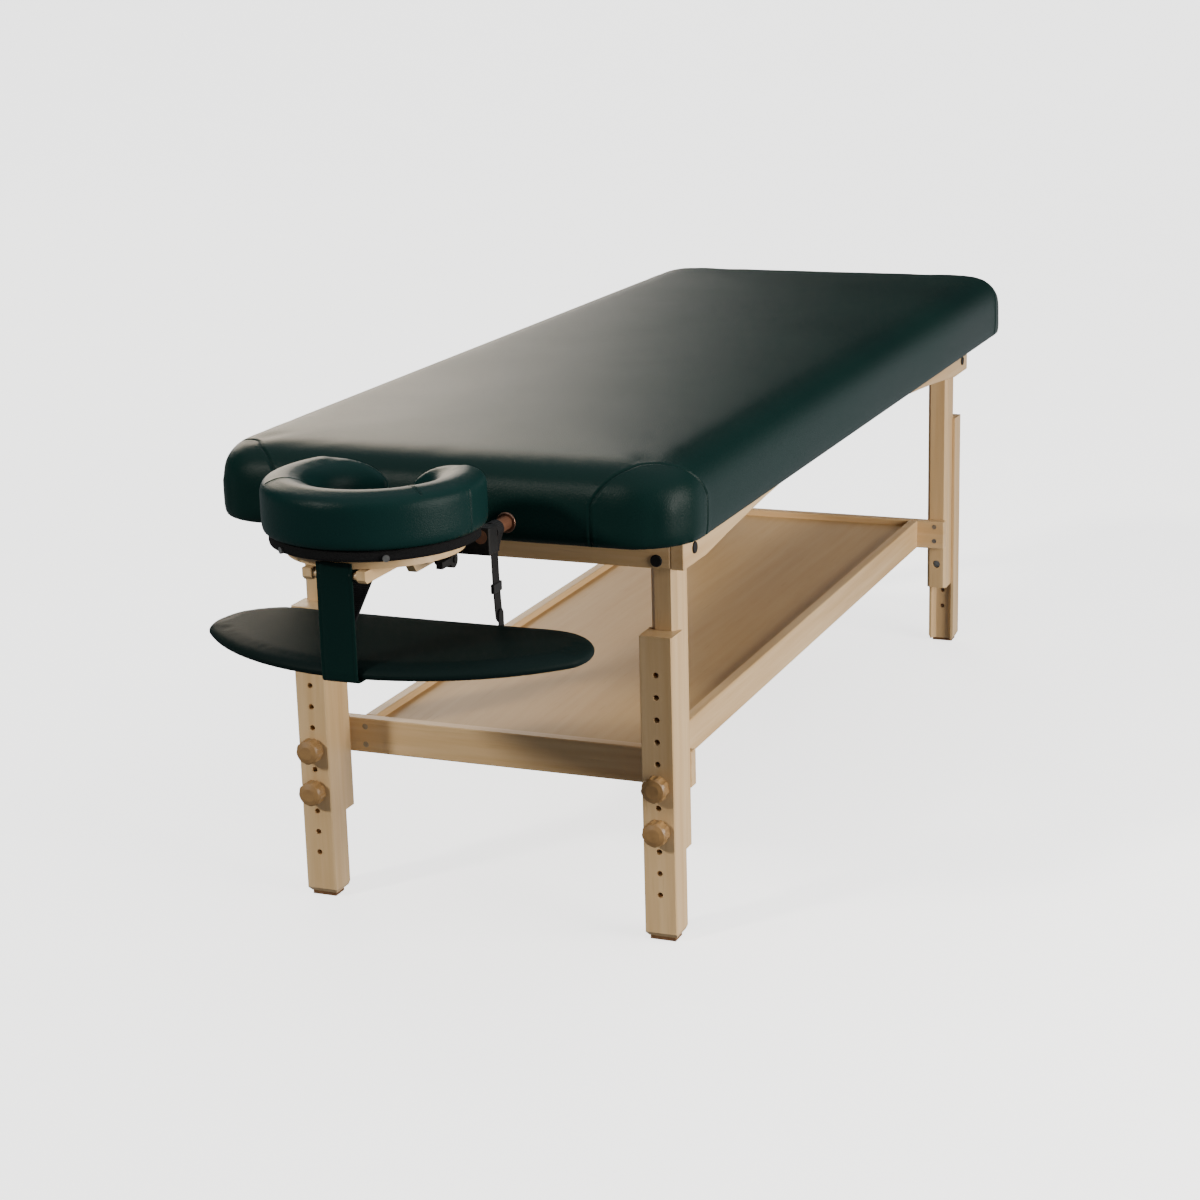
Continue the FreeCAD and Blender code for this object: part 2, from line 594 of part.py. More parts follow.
# Legs: a bevelled upper leg, a grooved extension that rides on it, its foot pad and two knobs.
CORNERS = [(side, end) for end in (-1, 1) for side in (-1, 1)]
SIDE_WORDS = {-1: "left", 1: "right"}
END_WORDS = {-1: "head", 1: "foot"}
for side, end in CORNERS:
    corner = END_WORDS[end] + "_" + SIDE_WORDS[side]
    body = new_body("upper_leg_" + corner)
    half = "leg_width / 2"
    leg = outline(body, "XY_Plane", [
        (across, signed(end, along)) for across, along in (
            ("-(" + half + " - leg_bevel)", "0"), (half + " - leg_bevel", "0"),
            (half, "-leg_bevel"), (half, "leg_back_bevel - leg_depth"),
            (half + " - leg_back_bevel", "-leg_depth"), ("leg_back_bevel - " + half, "-leg_depth"),
            ("-" + half, "leg_back_bevel - leg_depth"), ("-" + half, "-leg_bevel"))])
    pad(body, leg, "rail_top - leg_clear")
    place(body, signed(side, "leg_mid"), signed(end, "leg_front"), "leg_clear")
    low_y = "leg_back" if end > 0 else "-leg_front"
    sink_y = "leg_back - cut_past" if end > 0 else "-(leg_back + bolt_sink)"
    tools = []
    for level in ("bolt_high", "bolt_low"):
        name = corner + "_" + level
        tools.append(cylinder("leg_bore_" + name, "y", signed(side, "leg_mid"), low_y + " - cut_past", level,
                              "bolt_width / 2 + snug_gap", "leg_depth + 2 * cut_past"))
        tools.append(cylinder("leg_sink_" + name, "y", signed(side, "leg_mid"),
                              sink_y, level, "bolt_sink_width / 2", "bolt_sink + cut_past"))
    for shift in ("screw_apart", "-screw_apart"):
        tools.append(cylinder("leg_pilot_%s_%d" % (corner, len(tools)), "y", signed(side, "leg_mid"),
                              "leg_back - cut_past" if end > 0
                              else "-(leg_back + screw_length - shelf_end_thick)",
                              "bolt_high + " + shift, "screw_width / 2",
                              "screw_length - shelf_end_thick + cut_past"))
    tools.append(cylinder("leg_end_bore_" + corner, "y", signed(side, "frame_side - end_bolt_in"),
                          "leg_front - 2 * insert_length" if end > 0 else "-leg_front - cut_past",
                          "rail_top - end_bolt_drop", "insert_width / 2", "2 * insert_length + cut_past"))
    tools.append(cylinder("leg_side_bore_" + corner, "x",
                          "leg_outer - 2 * insert_length" if side > 0 else "-leg_outer - cut_past",
                          signed(end, "frame_end - side_bolt_in"), "rail_top - side_bolt_drop",
                          "insert_width / 2", "2 * insert_length + cut_past"))
    drill("upper_leg_" + corner, body, tools)

    body = new_body("leg_extension_" + corner)
    round_edge = "edge_ease"
    channel = outline(body, "XY_Plane", [
        (across, signed(end, along)) for across, along in (
            ("-ext_half", "ext_front - " + round_edge), (round_edge + " - ext_half", "ext_front"),
            ("ext_half - " + round_edge, "ext_front"), ("ext_half", "ext_front - " + round_edge),
            ("ext_half", "-ext_lip"), ("groove_half", "-ext_lip"),
            ("groove_half", "groove_step - leg_bevel"),
            ("leg_width / 2 - leg_bevel + groove_step", "slide_gap"),
            ("leg_bevel - leg_width / 2 - groove_step", "slide_gap"),
            ("-groove_half", "groove_step - leg_bevel"),
            ("-groove_half", "-ext_lip"), ("-ext_half", "-ext_lip"))])
    pad(body, channel, "ext_height - foot_thick")
    hole = ring_sketch(body, "XZ_Plane", "0", "hole_last - foot_thick", "bolt_width / 2 + hole_gap / 2")
    first_hole = pocket(body, hole)
    row = body.newObject("PartDesign::LinearPattern", body.Name + "_row")
    row.Originals = [first_hole]
    row.Direction = (hole, ["V_Axis"])
    row.setExpression("Length", bind("%d * hole_pitch" % (HOLE_COUNT - 1)))
    row.Occurrences = HOLE_COUNT
    body.Tip = row
    doc.recompute()
    pocket(body, outline(body, "YZ_Plane", [
        (signed(end, "ext_front"), "0"), (signed(end, "ext_front"), "ext_bevel"),
        (signed(end, "ext_front - ext_bevel"), "0")]))
    for edge in (-1, 1):
        pocket(body, outline(body, "XZ_Plane", [
            (signed(edge, "ext_half"), "0"), (signed(edge, "ext_half"), "ext_side_bevel * 2"),
            (signed(edge, "ext_half - ext_side_bevel"), "0")]))
    place(body, signed(side, "leg_mid"), signed(end, "leg_front"), "foot_thick")
    node(body, "leg_extension_" + corner)

    foot = doc.addObject("Part::Box", "foot_pad_" + corner)
    foot.setExpression("Length", bind("foot_width"))
    foot.setExpression("Width", bind("foot_depth"))
    foot.setExpression("Height", bind("foot_thick"))
    middle = "leg_front + slide_gap + (ext_web - ext_bevel) / 2"
    place(foot, signed(side, "leg_mid") + " - foot_width / 2", signed(end, middle) + " - foot_depth / 2")
    node(foot, "foot_pad_" + corner)

    for level in ("high", "low"):
        label = "knob_" + corner + "_" + level
        body = new_body(label)
        bore = "bolt_width / 2 + turn_gap"
        turned = outline(body, "XY_Plane", [
            (across, signed(end, along)) for across, along in (
                (bore, "0"), ("knob_width * 0.35", "0"), ("knob_width * 0.35", "knob_thick * 0.1"),
                ("knob_width / 2", "knob_thick * 0.2"), ("knob_width / 2", "knob_thick * 0.78"),
                ("knob_width * 0.43", "knob_thick * 0.92"), ("knob_width * 0.26", "knob_thick"),
                ("0", "knob_thick"), ("0", "knob_bore"), (bore, "knob_bore"))])
        spin = body.newObject("PartDesign::Revolution", body.Name + "_spin")
        spin.Profile = turned
        spin.ReferenceAxis = (turned, ["V_Axis"])
        spin.Angle = 360
        body.Tip = spin
        doc.recompute()
        hollow = ring_sketch(body, "XZ_Plane", "0", "knob_width / 2 + flute_width / 2 - flute_deep",
                             "flute_width / 2")
        first_flute = pocket(body, hollow)
        round_row = body.newObject("PartDesign::PolarPattern", body.Name + "_round")
        round_row.Originals = [first_flute]
        round_row.Axis = (hollow, ["N_Axis"])
        round_row.Angle = 360
        round_row.Occurrences = FLUTE_COUNT
        body.Tip = round_row
        doc.recompute()
        place(body, signed(side, "leg_mid"), signed(end, "leg_front + ext_front + turn_gap"), "bolt_" + level)
        node(body, label)

# Fasteners, each kind one group of separate solids.
leg_bolts = []
frame_bolts = []
inserts = []
screws = []
for side, end in CORNERS:
    outward = Vector(0, end, 0)
    sideways = Vector(side, 0, 0)
    for level in ("bolt_high", "bolt_low"):
        seat = Vector(side * num("leg_mid"), end * num("leg_back + bolt_sink"), num(level))
        head = Part.makeCylinder(num("bolt_head_width / 2"), num("bolt_head_thick"), seat, outward * -1)
        reach = num("leg_depth - bolt_sink + ext_front + turn_gap + knob_bore - bolt_short")
        shank = Part.makeCylinder(num("bolt_width / 2"), reach, seat, outward)
        leg_bolts.append(head.fuse(shank).removeSplitter())
    end_seat = Vector(side * num("frame_side - end_bolt_in"), end * num("frame_end"),
                      num("rail_top - end_bolt_drop"))
    side_seat = Vector(side * num("frame_side"), end * num("frame_end - side_bolt_in"),
                       num("rail_top - side_bolt_drop"))
    for seat, out, thick in ((end_seat, outward, "end_rail_thick"), (side_seat, sideways, "rail_thick")):
        head = Part.makeCylinder(num("frame_head_width / 2"), num("frame_head_thick"), seat, out)
        rim = [edge for edge in head.Edges
               if len(edge.Vertexes) == 1 and (edge.CenterOfMass - seat).Length > num("frame_head_thick") / 2]
        head = head.makeFillet(num("frame_head_thick * 0.6"), rim)
        shank = Part.makeCylinder(num("frame_bolt_width / 2"), num(thick + " + insert_length"),
                                  seat, out * -1)
        frame_bolts.append(head.fuse(shank).removeSplitter())
        inserts.append(tube(seat - out * num(thick), out * -1, num("insert_width / 2"),
                            num("frame_bolt_width / 2"), num("insert_length")))
    for shift in (num("screw_apart"), -num("screw_apart")):
        seat = Vector(side * num("leg_mid"), end * num("shelf_end_back"), num("bolt_high") + shift)
        shank = Part.makeCylinder(num("screw_width / 2"), num("screw_length"), seat, outward)
        cone = Part.makeCone(num("screw_head / 2"), num("screw_width / 2"), num("screw_head / 4"),
                             seat, outward)
        screws.append(shank.fuse(cone).removeSplitter())
        seat = Vector(side * num("shelf_side - shelf_rail_thick / 2"), end * num("leg_back"),
                      num("shelf_low + shelf_depth / 2") + shift)
        shank = Part.makeCylinder(num("screw_width / 2"), num("screw_length"), seat, outward * -1)
        cone = Part.makeCone(num("screw_head / 2"), num("screw_width / 2"), num("screw_head / 4"),
                             seat, outward * -1)
        screws.append(shank.fuse(cone).removeSplitter())
fixed(Part.makeCompound(leg_bolts), "leg_bolts")
fixed(Part.makeCompound(frame_bolts), "frame_bolts")
fixed(Part.makeCompound(inserts), "leg_inserts")
shelf_screws = fixed(Part.makeCompound(screws), "shelf_screws")

# Shelf. The end rails are screwed to the inner faces of the legs and into the side rails.
for end, word in END_WORDS.items():
    rail = board("shelf_end_" + word, "-leg_outer", "-leg_back" if end < 0 else "shelf_end_back",
                 "shelf_low", "2 * leg_outer", "shelf_end_thick", "shelf_depth")
    drill("shelf_end_" + word, rail, [shelf_screws])
for side, word in SIDE_WORDS.items():
    rail = board("shelf_rail_" + word, "panel_half" if side > 0 else "-shelf_side", "-shelf_end_back",
                 "shelf_low", "shelf_rail_thick", "2 * shelf_end_back", "shelf_depth")
    drill("shelf_rail_" + word, rail, [shelf_screws])
node(box("shelf_panel", "-panel_half", "-shelf_end_back", "panel_low",
         "2 * panel_half", "2 * shelf_end_back", "shelf_panel_thick"), "shelf_panel")
cleats = []
for side, word in SIDE_WORDS.items():
    cleats.append(box("shelf_cleat_" + word, "panel_half - cleat_width" if side > 0 else "-panel_half",
                      "-shelf_end_back", "panel_low - cleat_width",
                      "cleat_width", "2 * shelf_end_back", "cleat_width"))
shelf_cleats = doc.addObject("Part::Compound", "shelf_cleats")
shelf_cleats.Links = cleats
node(shelf_cleats, "shelf_cleats")

# Face rest: rods, cross bar and arms slide together.
rods = []
for side in (-1, 1):
    start = Vector(side * num("rod_half"), num("-(head_y + bar_out + bar_width)"), num("rod_z"))
    rods.append(Part.makeCylinder(num("rod_width / 2"), num("bar_out + bar_width + rod_inside"),
                                  start, Vector(0, 1, 0)))
cradle_rods = fixed(Part.makeCompound(rods), "cradle_rods")
bar = board("cradle_bar", "-bar_length / 2", "-(head_y + bar_out + bar_width)", "rod_z - bar_low",
            "bar_length", "bar_width", "bar_low + bar_high")
drill("cradle_bar", bar, [cradle_rods])

pin_start = Vector(-num("cam_in + cam_thick + cam_gap"), num("pivot_y"), num("pivot_z"))
pin = Part.makeCylinder(num("pin_width / 2"), num("2 * (cam_in + cam_thick + cam_gap)"),
                        pin_start, Vector(1, 0, 0))
pivot_pin = fixed(pin, "pivot_pin")
dowels = []
for along in (num("dowel_y"), num("-(head_y + dowel_back_out)")):
    dowels.append(Part.makeCylinder(num("dowel_width / 2"), num("arm_apart"),
                                    Vector(-num("arm_apart / 2"), along, num("dowel_z")), Vector(1, 0, 0)))
sling_dowels = fixed(Part.makeCompound(dowels), "sling_dowels")

arm_cuts = []
for side, word in SIDE_WORDS.items():
    body = new_body("cradle_arm_" + word)
    back = "-(head_y + bar_out + bar_width)"
    arm = outline(body, "YZ_Plane", [
        (back, "arm_top - arm_depth"),
        (back, "arm_top - arm_slope"),
        ("pivot_y + arm_relief", "arm_top"),
        ("-(head_y + arm_out)", "arm_top"),
        ("-(head_y + arm_out)", "arm_top - arm_nose * 0.7"),
        ("-(head_y + arm_out) + arm_nose * 0.3", "arm_top - arm_nose"),
        ("-(head_y + arm_deep_out)", "arm_top - arm_nose"),
        ("-(head_y + arm_deep_out) + arm_nose", "arm_top - arm_depth"),
    ])
    pad(body, arm, "arm_thick")
    place(body, "arm_in" if side > 0 else "-arm_in - arm_thick")
    group = doc.addObject("Part::Compound", "cradle_arm_tools_" + word)
    group.Links = [pivot_pin, sling_dowels]
    cut = doc.addObject("Part::Cut", "cradle_arm_cut_" + word)
    cut.Base = body
    cut.Tool = group
    arm_cuts.append(cut)
cradle_arms = doc.addObject("Part::Compound", "cradle_arms")
cradle_arms.Links = arm_cuts
node(cradle_arms, "cradle_arms")

loops = []
for side in (-1, 1):
    start = Vector(side * num("rod_half"), num("web_y - web_width / 2"), num("rod_z"))
    loops.append(tube(start, Vector(0, 1, 0), num("loop_radius"), num("rod_width / 2 + snug_gap"),
                      num("web_width")))
fixed(Part.makeCompound(loops), "strap_loops")


# Face rest: platform, hook band and cushion share one kind of outline.
def horseshoe(radius, hole, back, height):
    """Wire of a ring that is cut straight by the table and split there, with two round noses.

    `back` counts from the middle of the ring to the cut."""
    middle = Vector(0, num("face_y"), height)
    nose_room = hole ** 2 - (back - num("face_nose")) ** 2
    split = max(num("face_split"), math.sqrt(max(nose_room, 0)))
    inner = split + num("face_nose / 2")
    reach = math.sqrt(radius ** 2 - back ** 2)
    corner = min(num("face_corner"), (reach - inner) / 2)
    turn = math.asin(back / radius) - corner / radius
    edges = []
    for side in (1, -1):
        def spot(across, along):
            return middle + Vector(side * across, along, 0)

        def round_spot(far, angle):
            return spot(far * math.cos(angle), far * math.sin(angle))

        notch = math.acos(inner / hole)
        nose = [round_spot(hole, notch), spot(split, (hole * math.sin(notch) + back) / 2), spot(inner, back)]
        shoulder = [spot(reach - corner, back), None, round_spot(radius, turn)]
        chord = (shoulder[0] + shoulder[2]) / 2
        shoulder[1] = chord + (spot(reach, back) - chord) * CORNER_FULL
        edges.append([
            Part.Arc(spot(0, -hole), round_spot(hole, (notch - math.pi / 2) / 2), nose[0]).toShape(),
            Part.Arc(*nose).toShape(), Part.makeLine(nose[2], shoulder[0]), Part.Arc(*shoulder).toShape(),
            Part.Arc(shoulder[2], round_spot(radius, (turn - math.pi / 2) / 2), spot(0, -radius)).toShape()])
    return Part.Wire(edges[0] + list(reversed(edges[1])))


def horseshoe_plate(inset, out, low, thick):
    wire = horseshoe(num("face_radius - " + inset), num("face_hole + plate_hole_more"),
                     num("-(head_y + " + out + ") - face_y"), num(low))
    return Part.Face(wire).extrude(Vector(0, 0, num(thick)))


fixed(horseshoe_plate("platform_in", "platform_back", "platform_low", "platform_thick"), "face_platform")
fixed(horseshoe_plate("hook_in", "hook_back", "hook_low", "hook_thick"), "hook_band")


def roll_in(height, deep, wide):
    """How far a rolled edge has drawn in at a height; the roll is as deep and as wide as given."""
    rise = height - num("face_thick - face_crown") + deep
    share = min(max(rise / deep, 0), 1)
    return wide * (1 - math.sqrt(1 - share ** 2))


tuck = num("face_tuck")
face_rows = [(0, tuck, tuck), (tuck * 0.45, tuck * 0.42, tuck * 0.42), (tuck * 1.3, tuck * 0.08, tuck * 0.08),
             (tuck * 2.2, 0, 0)]
for turn in ROLL_TURNS:
    height = num("face_thick - face_crown") + num("face_flare_deep") * (math.sin(math.radians(turn)) - 1)
    face_rows.append((height, roll_in(height, num("face_roll"), num("face_roll")),
                      roll_in(height, num("face_flare_deep"), num("face_flare"))))
face_rows.append((num("face_thick"), num("face_roll + face_crown_in"), num("face_flare + face_crown_in")))
sections = []
for height, drawn, flared in face_rows:
    sections.append(horseshoe(num("face_radius") - drawn, num("face_hole") + flared,
                              num("-(head_y + face_back) - face_y") - drawn, num("face_low") + height))
fixed(Part.makeLoft(sections, True, True), "face_cushion")

studs = []
for side in (-1, 1):
    angle = math.radians(STUD_TURN)
    out = Vector(side * math.cos(angle), -math.sin(angle), 0)
    seat = Vector(0, num("face_y"), num("hook_low + hook_thick / 2")) + out * num("face_radius - hook_in")
    plate = doc.getObject("hook_band").Shape.copy()
    plate.Placement = FreeCAD.Placement()
    stud = Part.makeCylinder(num("stud_width / 2"), num("2 * stud_thick"),
                             seat - out * num("stud_thick"), out)
    studs.append(stud.cut(plate))
fixed(Part.makeCompound(studs), "snap_studs")

lugs = []
for side in (-1, 1):
    start = Vector(num("lug_in") if side > 0 else -num("lug_in + lug_thick"),
                   num("pivot_y"), num("pivot_z"))
    eye = Part.makeCylinder(num("lug_radius"), num("lug_thick"), start, Vector(1, 0, 0))
    post = Part.makeBox(num("lug_thick"), num("2 * lug_radius"), num("pivot_drop"),
                        start - Vector(0, num("lug_radius"), 0))
    bore = Part.makeCylinder(num("pin_width / 2 + turn_gap"), num("lug_thick"), start, Vector(1, 0, 0))
    lugs.append(eye.fuse(post).cut(bore).removeSplitter())
fixed(Part.makeCompound(lugs), "platform_lugs")

cams = []
for side in (-1, 1):
    start = Vector(num("cam_in") if side > 0 else -num("cam_in + cam_thick"), num("pivot_y"), num("pivot_z"))
    eye = Part.makeCylinder(num("cam_radius"), num("cam_thick"), start, Vector(1, 0, 0))
    grip = Part.makeBox(num("cam_thick"), num("cam_length"), num("cam_grip"),
                        start - Vector(0, num("cam_length"), num("cam_grip / 2")))
    bore = Part.makeCylinder(num("pin_width / 2 + turn_gap"), num("cam_thick"), start, Vector(1, 0, 0))
    cams.append(eye.fuse(grip).cut(bore).removeSplitter())
fixed(Part.makeCompound(cams), "cam_levers")

# Arm sling: a hanger round the two dowels, a front strap, two rear straps and the padded board.
half_strap = num("strap_width / 2")
front_ring = tube(Vector(-half_strap, num("dowel_y"), num("dowel_z")), Vector(1, 0, 0),
                  num("dowel_ring"), num("dowel_width / 2 + snug_gap"), num("strap_width"))
rear_ring = tube(Vector(-half_strap, num("-(head_y + dowel_back_out)"), num("dowel_z")), Vector(1, 0, 0),
                 num("dowel_ring"), num("dowel_width / 2 + snug_gap"), num("strap_width"))
run_low = num("strap_high + strap_thick / 2 + hang_gap")
run = Part.makeBox(num("strap_width"), num("strap_thick"), num("hook_low - hang_gap") - run_low,
                   Vector(-half_strap, num("strap_y - strap_thick / 2"), run_low))
low_end = Vector(-half_strap, num("strap_y"), num("strap_high + stay_drop"))
rear_end = Vector(-half_strap, num("-(head_y + dowel_back_out)"),
                  num("dowel_z - dowel_ring + strap_thick / 2"))
slope = (rear_end - low_end).normalize()
square = Vector(0, -slope.z, slope.y) * num("strap_thick / 2")
stay_edge = Part.makePolygon([low_end - square, rear_end - square, rear_end + square,
                              low_end + square, low_end - square])
stay = Part.Face(stay_edge).extrude(Vector(num("strap_width"), 0, 0))
hanger = front_ring.fuse([rear_ring, run, stay])
for dowel in dowels:
    centre = dowel.CenterOfMass
    hanger = hanger.cut(Part.makeCylinder(num("dowel_width / 2 + snug_gap"), num("strap_width"),
                                          Vector(-half_strap, centre.y, centre.z), Vector(1, 0, 0)))
fixed(hanger.removeSplitter(), "strap_hanger")


def round_ended(body, along, low, high, half):
    """Upright strip with round ends, centred on its two pivots."""
    left = along + " - " + half
    right = along + " + " + half
    return outline(body, "YZ_Plane", [
        (left, low), (along, low + " - " + half), (right, low),
        (right, high), (along, high + " + " + half), (left, high),
    ], {0: (half, 1), 1: (half, 1), 3: (half, 1), 4: (half, 1)})


body = new_body("front_strap")
pad(body, round_ended(body, "strap_y", "strap_low", "strap_high", "strap_thick / 2"), "strap_width")
place(body, "-strap_width / 2")
node(body, "front_strap")
for side, word in SIDE_WORDS.items():
    body = new_body("rear_strap_" + word)
    pad(body, round_ended(body, "web_y", "web_low", "web_high", "web_width / 2"), "web_thick")
    place(body, signed(side, "rod_half") + " - web_thick / 2")
    node(body, "rear_strap_" + word)


def sling_wire(inset, height):
    """Outline of the sling: a straight edge by the table, round ends and one long front curve."""
    back = num("sling_back_y")
    front = num("sling_front_y")
    middle = Vector(0, (back + front) / 2, 0)
    shrink = Vector(1 - inset / num("sling_half"), 1 - inset / (abs(front - back) / 2), 0)
    turn = back - num("sling_turn")

    def spot(across, along):
        return Vector(across * shrink.x, middle.y + (along - middle.y) * shrink.y, height)

    half = num("sling_half")
    straight = num("sling_back_half")
    bulge = half + (half - straight) * 0.02
    right = [spot(straight, back), spot(bulge, back - (back - turn) * 0.46), spot(half, turn)]
    left = [spot(-half, turn), spot(-bulge, back - (back - turn) * 0.46), spot(-straight, back)]
    deep = turn - front
    radius = (half ** 2 + deep ** 2) / (2 * deep)
    quarter = front + radius - math.sqrt(radius ** 2 - half ** 2 / 4)
    apex = spot(0, front)
    return Part.Wire([
        Part.makeLine(left[2], right[0]), Part.Arc(*right).toShape(),
        Part.Arc(right[2], spot(half / 2, quarter), apex).toShape(),
        Part.Arc(apex, spot(-half / 2, quarter), left[0]).toShape(), Part.Arc(*left).toShape()])


thick = num("sling_thick")
sections = []
for share, inset in ((0, 0.18), (0.1, 0.05), (0.28, 0), (0.55, 0.03), (0.75, 0.14), (0.9, 0.4), (1, 1.1)):
    sections.append(sling_wire(inset * thick, num("sling_low") + share * thick))
core = Part.Face(sling_wire(num("core_in"), num("sling_low"))).extrude(Vector(0, 0, num("core_thick")))
room = Part.Face(sling_wire(num("core_in - soft_gap"), num("sling_low - cut_past")))
room = room.extrude(Vector(0, 0, num("cut_past + core_thick + soft_gap")))
fixed(Part.makeLoft(sections, True, True).cut(room), "sling_pad")
fixed(core, "sling_core")

# Every piece is checked and written to its own file.
doc.recompute()
for thing in doc.Objects:
    if "Invalid" in thing.State or "Error" in thing.State:
        raise RuntimeError("%s did not build: %s" % (thing.Label, thing.State))
total = 0
for thing in nodes:
    shape = thing.Shape
    if shape.isNull() or not shape.isValid() or not shape.Solids:
        raise RuntimeError("%s is not a sound solid" % thing.Label)
    shape.exportStep("parts/%s.step" % thing.Label)
    total += 1
print("pieces written:", total)
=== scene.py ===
# %% [markdown]
# # A massage table, dressed in Blender
#
# The solids of the table arrive as a fixed model: wood, bolts, rods and knobs keep their exact shapes here
# and get surfaces that look like maple, steel and copper. Everything soft is built again as what it is: foam
# under a vinyl cover, sewn straps and black webbing.
#
# All lengths are in metres. The floor is z = 0 and the face rest points towards -Y.

# %% Load the model
import json
import math

import bmesh
import bpy
import numpy as np
from mathutils import Matrix, Vector
from mathutils.bvhtree import BVHTree


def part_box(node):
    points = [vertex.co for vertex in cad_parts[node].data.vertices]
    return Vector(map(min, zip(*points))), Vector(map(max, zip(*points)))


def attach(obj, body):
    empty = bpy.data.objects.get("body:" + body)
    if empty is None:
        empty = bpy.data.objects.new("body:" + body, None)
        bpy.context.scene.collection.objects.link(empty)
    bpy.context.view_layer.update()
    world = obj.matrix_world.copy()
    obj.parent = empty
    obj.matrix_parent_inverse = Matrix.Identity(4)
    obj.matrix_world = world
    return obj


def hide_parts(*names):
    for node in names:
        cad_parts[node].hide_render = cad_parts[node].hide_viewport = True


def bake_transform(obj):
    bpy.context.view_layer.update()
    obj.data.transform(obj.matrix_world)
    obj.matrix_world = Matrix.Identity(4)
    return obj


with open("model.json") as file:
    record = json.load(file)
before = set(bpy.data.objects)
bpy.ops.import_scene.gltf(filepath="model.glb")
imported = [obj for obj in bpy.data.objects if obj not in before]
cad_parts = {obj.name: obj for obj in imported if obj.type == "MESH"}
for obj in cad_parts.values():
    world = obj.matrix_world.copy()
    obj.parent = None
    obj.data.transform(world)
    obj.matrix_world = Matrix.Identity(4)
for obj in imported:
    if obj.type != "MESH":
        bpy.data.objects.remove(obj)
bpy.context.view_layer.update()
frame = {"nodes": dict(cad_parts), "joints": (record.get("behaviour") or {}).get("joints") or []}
cad_nodes = frame["nodes"]

# %% [markdown]
# ## Camera
#
# The photograph was taken from in front of the face rest, a little to the right and above the top. The
# azimuth, the height and the lens were found by matching about sixty points of the frame, and the small roll
# is part of that match. A camera looks along its own -Z with +Y up, so three directions give its rotation.

# %% Camera
AZIMUTH = math.radians(22.375)
ELEVATION = math.radians(15.409)
ROLL = math.radians(-1.58)
FOCAL_PIXELS = 2488.9
FRAME_PIXELS = 1200
SENSOR = 36.0
CAMERA_SPOT = (1.4435, -3.6934, 1.4021)

back = Vector((math.sin(AZIMUTH) * math.cos(ELEVATION), -math.cos(AZIMUTH) * math.cos(ELEVATION),
               math.sin(ELEVATION)))
level = Vector((math.cos(AZIMUTH), math.sin(AZIMUTH), 0))
upward = back.cross(level)
right = level * math.cos(ROLL) + upward * math.sin(ROLL)
upward = upward * math.cos(ROLL) - level * math.sin(ROLL)

camera = bpy.data.cameras.new("camera")
camera.sensor_width = SENSOR
camera.lens = SENSOR * FOCAL_PIXELS / FRAME_PIXELS
camera_object = bpy.data.objects.new("camera", camera)
camera_object.rotation_mode = "QUATERNION"
camera_object.rotation_quaternion = Matrix((right, upward, back)).transposed().to_quaternion()
camera_object.location = CAMERA_SPOT
bpy.context.scene.collection.objects.link(camera_object)
bpy.context.scene.camera = camera_object
print("lens %.1f mm" % camera.lens)

# %% [markdown]
# ## Shader arithmetic
#
# A procedural finish is a small calculation for every point of a surface. Wiring Math nodes by hand hides
# that, so one class wraps a socket and lets Python's own operators add the nodes. A second class starts a
# material and adds any other node: its settings first, then its values and links.

# %% Wires
class Wire:
    """One output socket; arithmetic on it adds Math nodes."""

    def __init__(self, finish, socket):
        self.finish = finish
        self.socket = socket

    def combine(self, operation, first, second):
        return self.finish.node("ShaderNodeMath", {"operation": operation}, {0: first, 1: second})

    def __add__(self, other):
        return self.combine("ADD", self, other)

    def __radd__(self, other):
        return self.combine("ADD", other, self)

    def __sub__(self, other):
        return self.combine("SUBTRACT", self, other)

    def __rsub__(self, other):
        return self.combine("SUBTRACT", other, self)

    def __mul__(self, other):
        return self.combine("MULTIPLY", self, other)

    def __rmul__(self, other):
        return self.combine("MULTIPLY", other, self)


# %% A material under construction
class Finish:
    """A material under construction, around one Principled shader."""

    def __init__(self, name, **even):
        self.material = bpy.data.materials.new(name)
        self.material.use_nodes = True
        self.nodes = self.material.node_tree.nodes
        self.links = self.material.node_tree.links
        self.shader = self.nodes["Principled BSDF"]
        for socket, value in even.items():
            self.shader.inputs[socket.replace("_", " ")].default_value = value

    def feed(self, socket, value):
        if isinstance(value, Wire):
            self.links.new(value.socket, socket)
        else:
            socket.default_value = value

    def node(self, kind, settings=None, sockets=None, out=0):
        made = self.nodes.new(kind)
        for name, value in (settings or {}).items():
            setattr(made, name, value)
        for name, value in (sockets or {}).items():
            self.feed(made.inputs[name], value)
        return Wire(self, made.outputs[out])

    def spot(self):
        """Where the point is on the resting piece, in metres."""
        return self.node("ShaderNodeTexCoord", out="Object")

    def stretched(self, spot, scale):
        return self.node("ShaderNodeVectorMath", {"operation": "MULTIPLY"}, {0: spot, 1: scale})

    def noise(self, spot, scale, detail=3.0, rough=0.5):
        return self.node("ShaderNodeTexNoise", {"noise_dimensions": "3D"},
                         {"Vector": spot, "Scale": scale, "Detail": detail, "Roughness": rough})

    def ramp(self, value, low, high):
        """Stretches the part of a value between low and high over 0 to 1."""
        return self.node("ShaderNodeMapRange", {"clamp": True},
                         {"Value": value, "From Min": low, "From Max": high})

    def mix(self, share, first, second):
        return self.node("ShaderNodeMix", {"data_type": "RGBA"}, {0: share, 6: first, 7: second}, out=2)

    def wear(self, base, rough, height, depth):
        """Feeds what changes over the surface into the shader; depth is the bump's height in metres."""
        self.feed(self.shader.inputs["Base Color"], base)
        self.feed(self.shader.inputs["Roughness"], rough)
        bump = self.node("ShaderNodeBump", {}, {"Strength": 1.0, "Distance": depth, "Height": height})
        self.feed(self.shader.inputs["Normal"], bump)
        return self.material


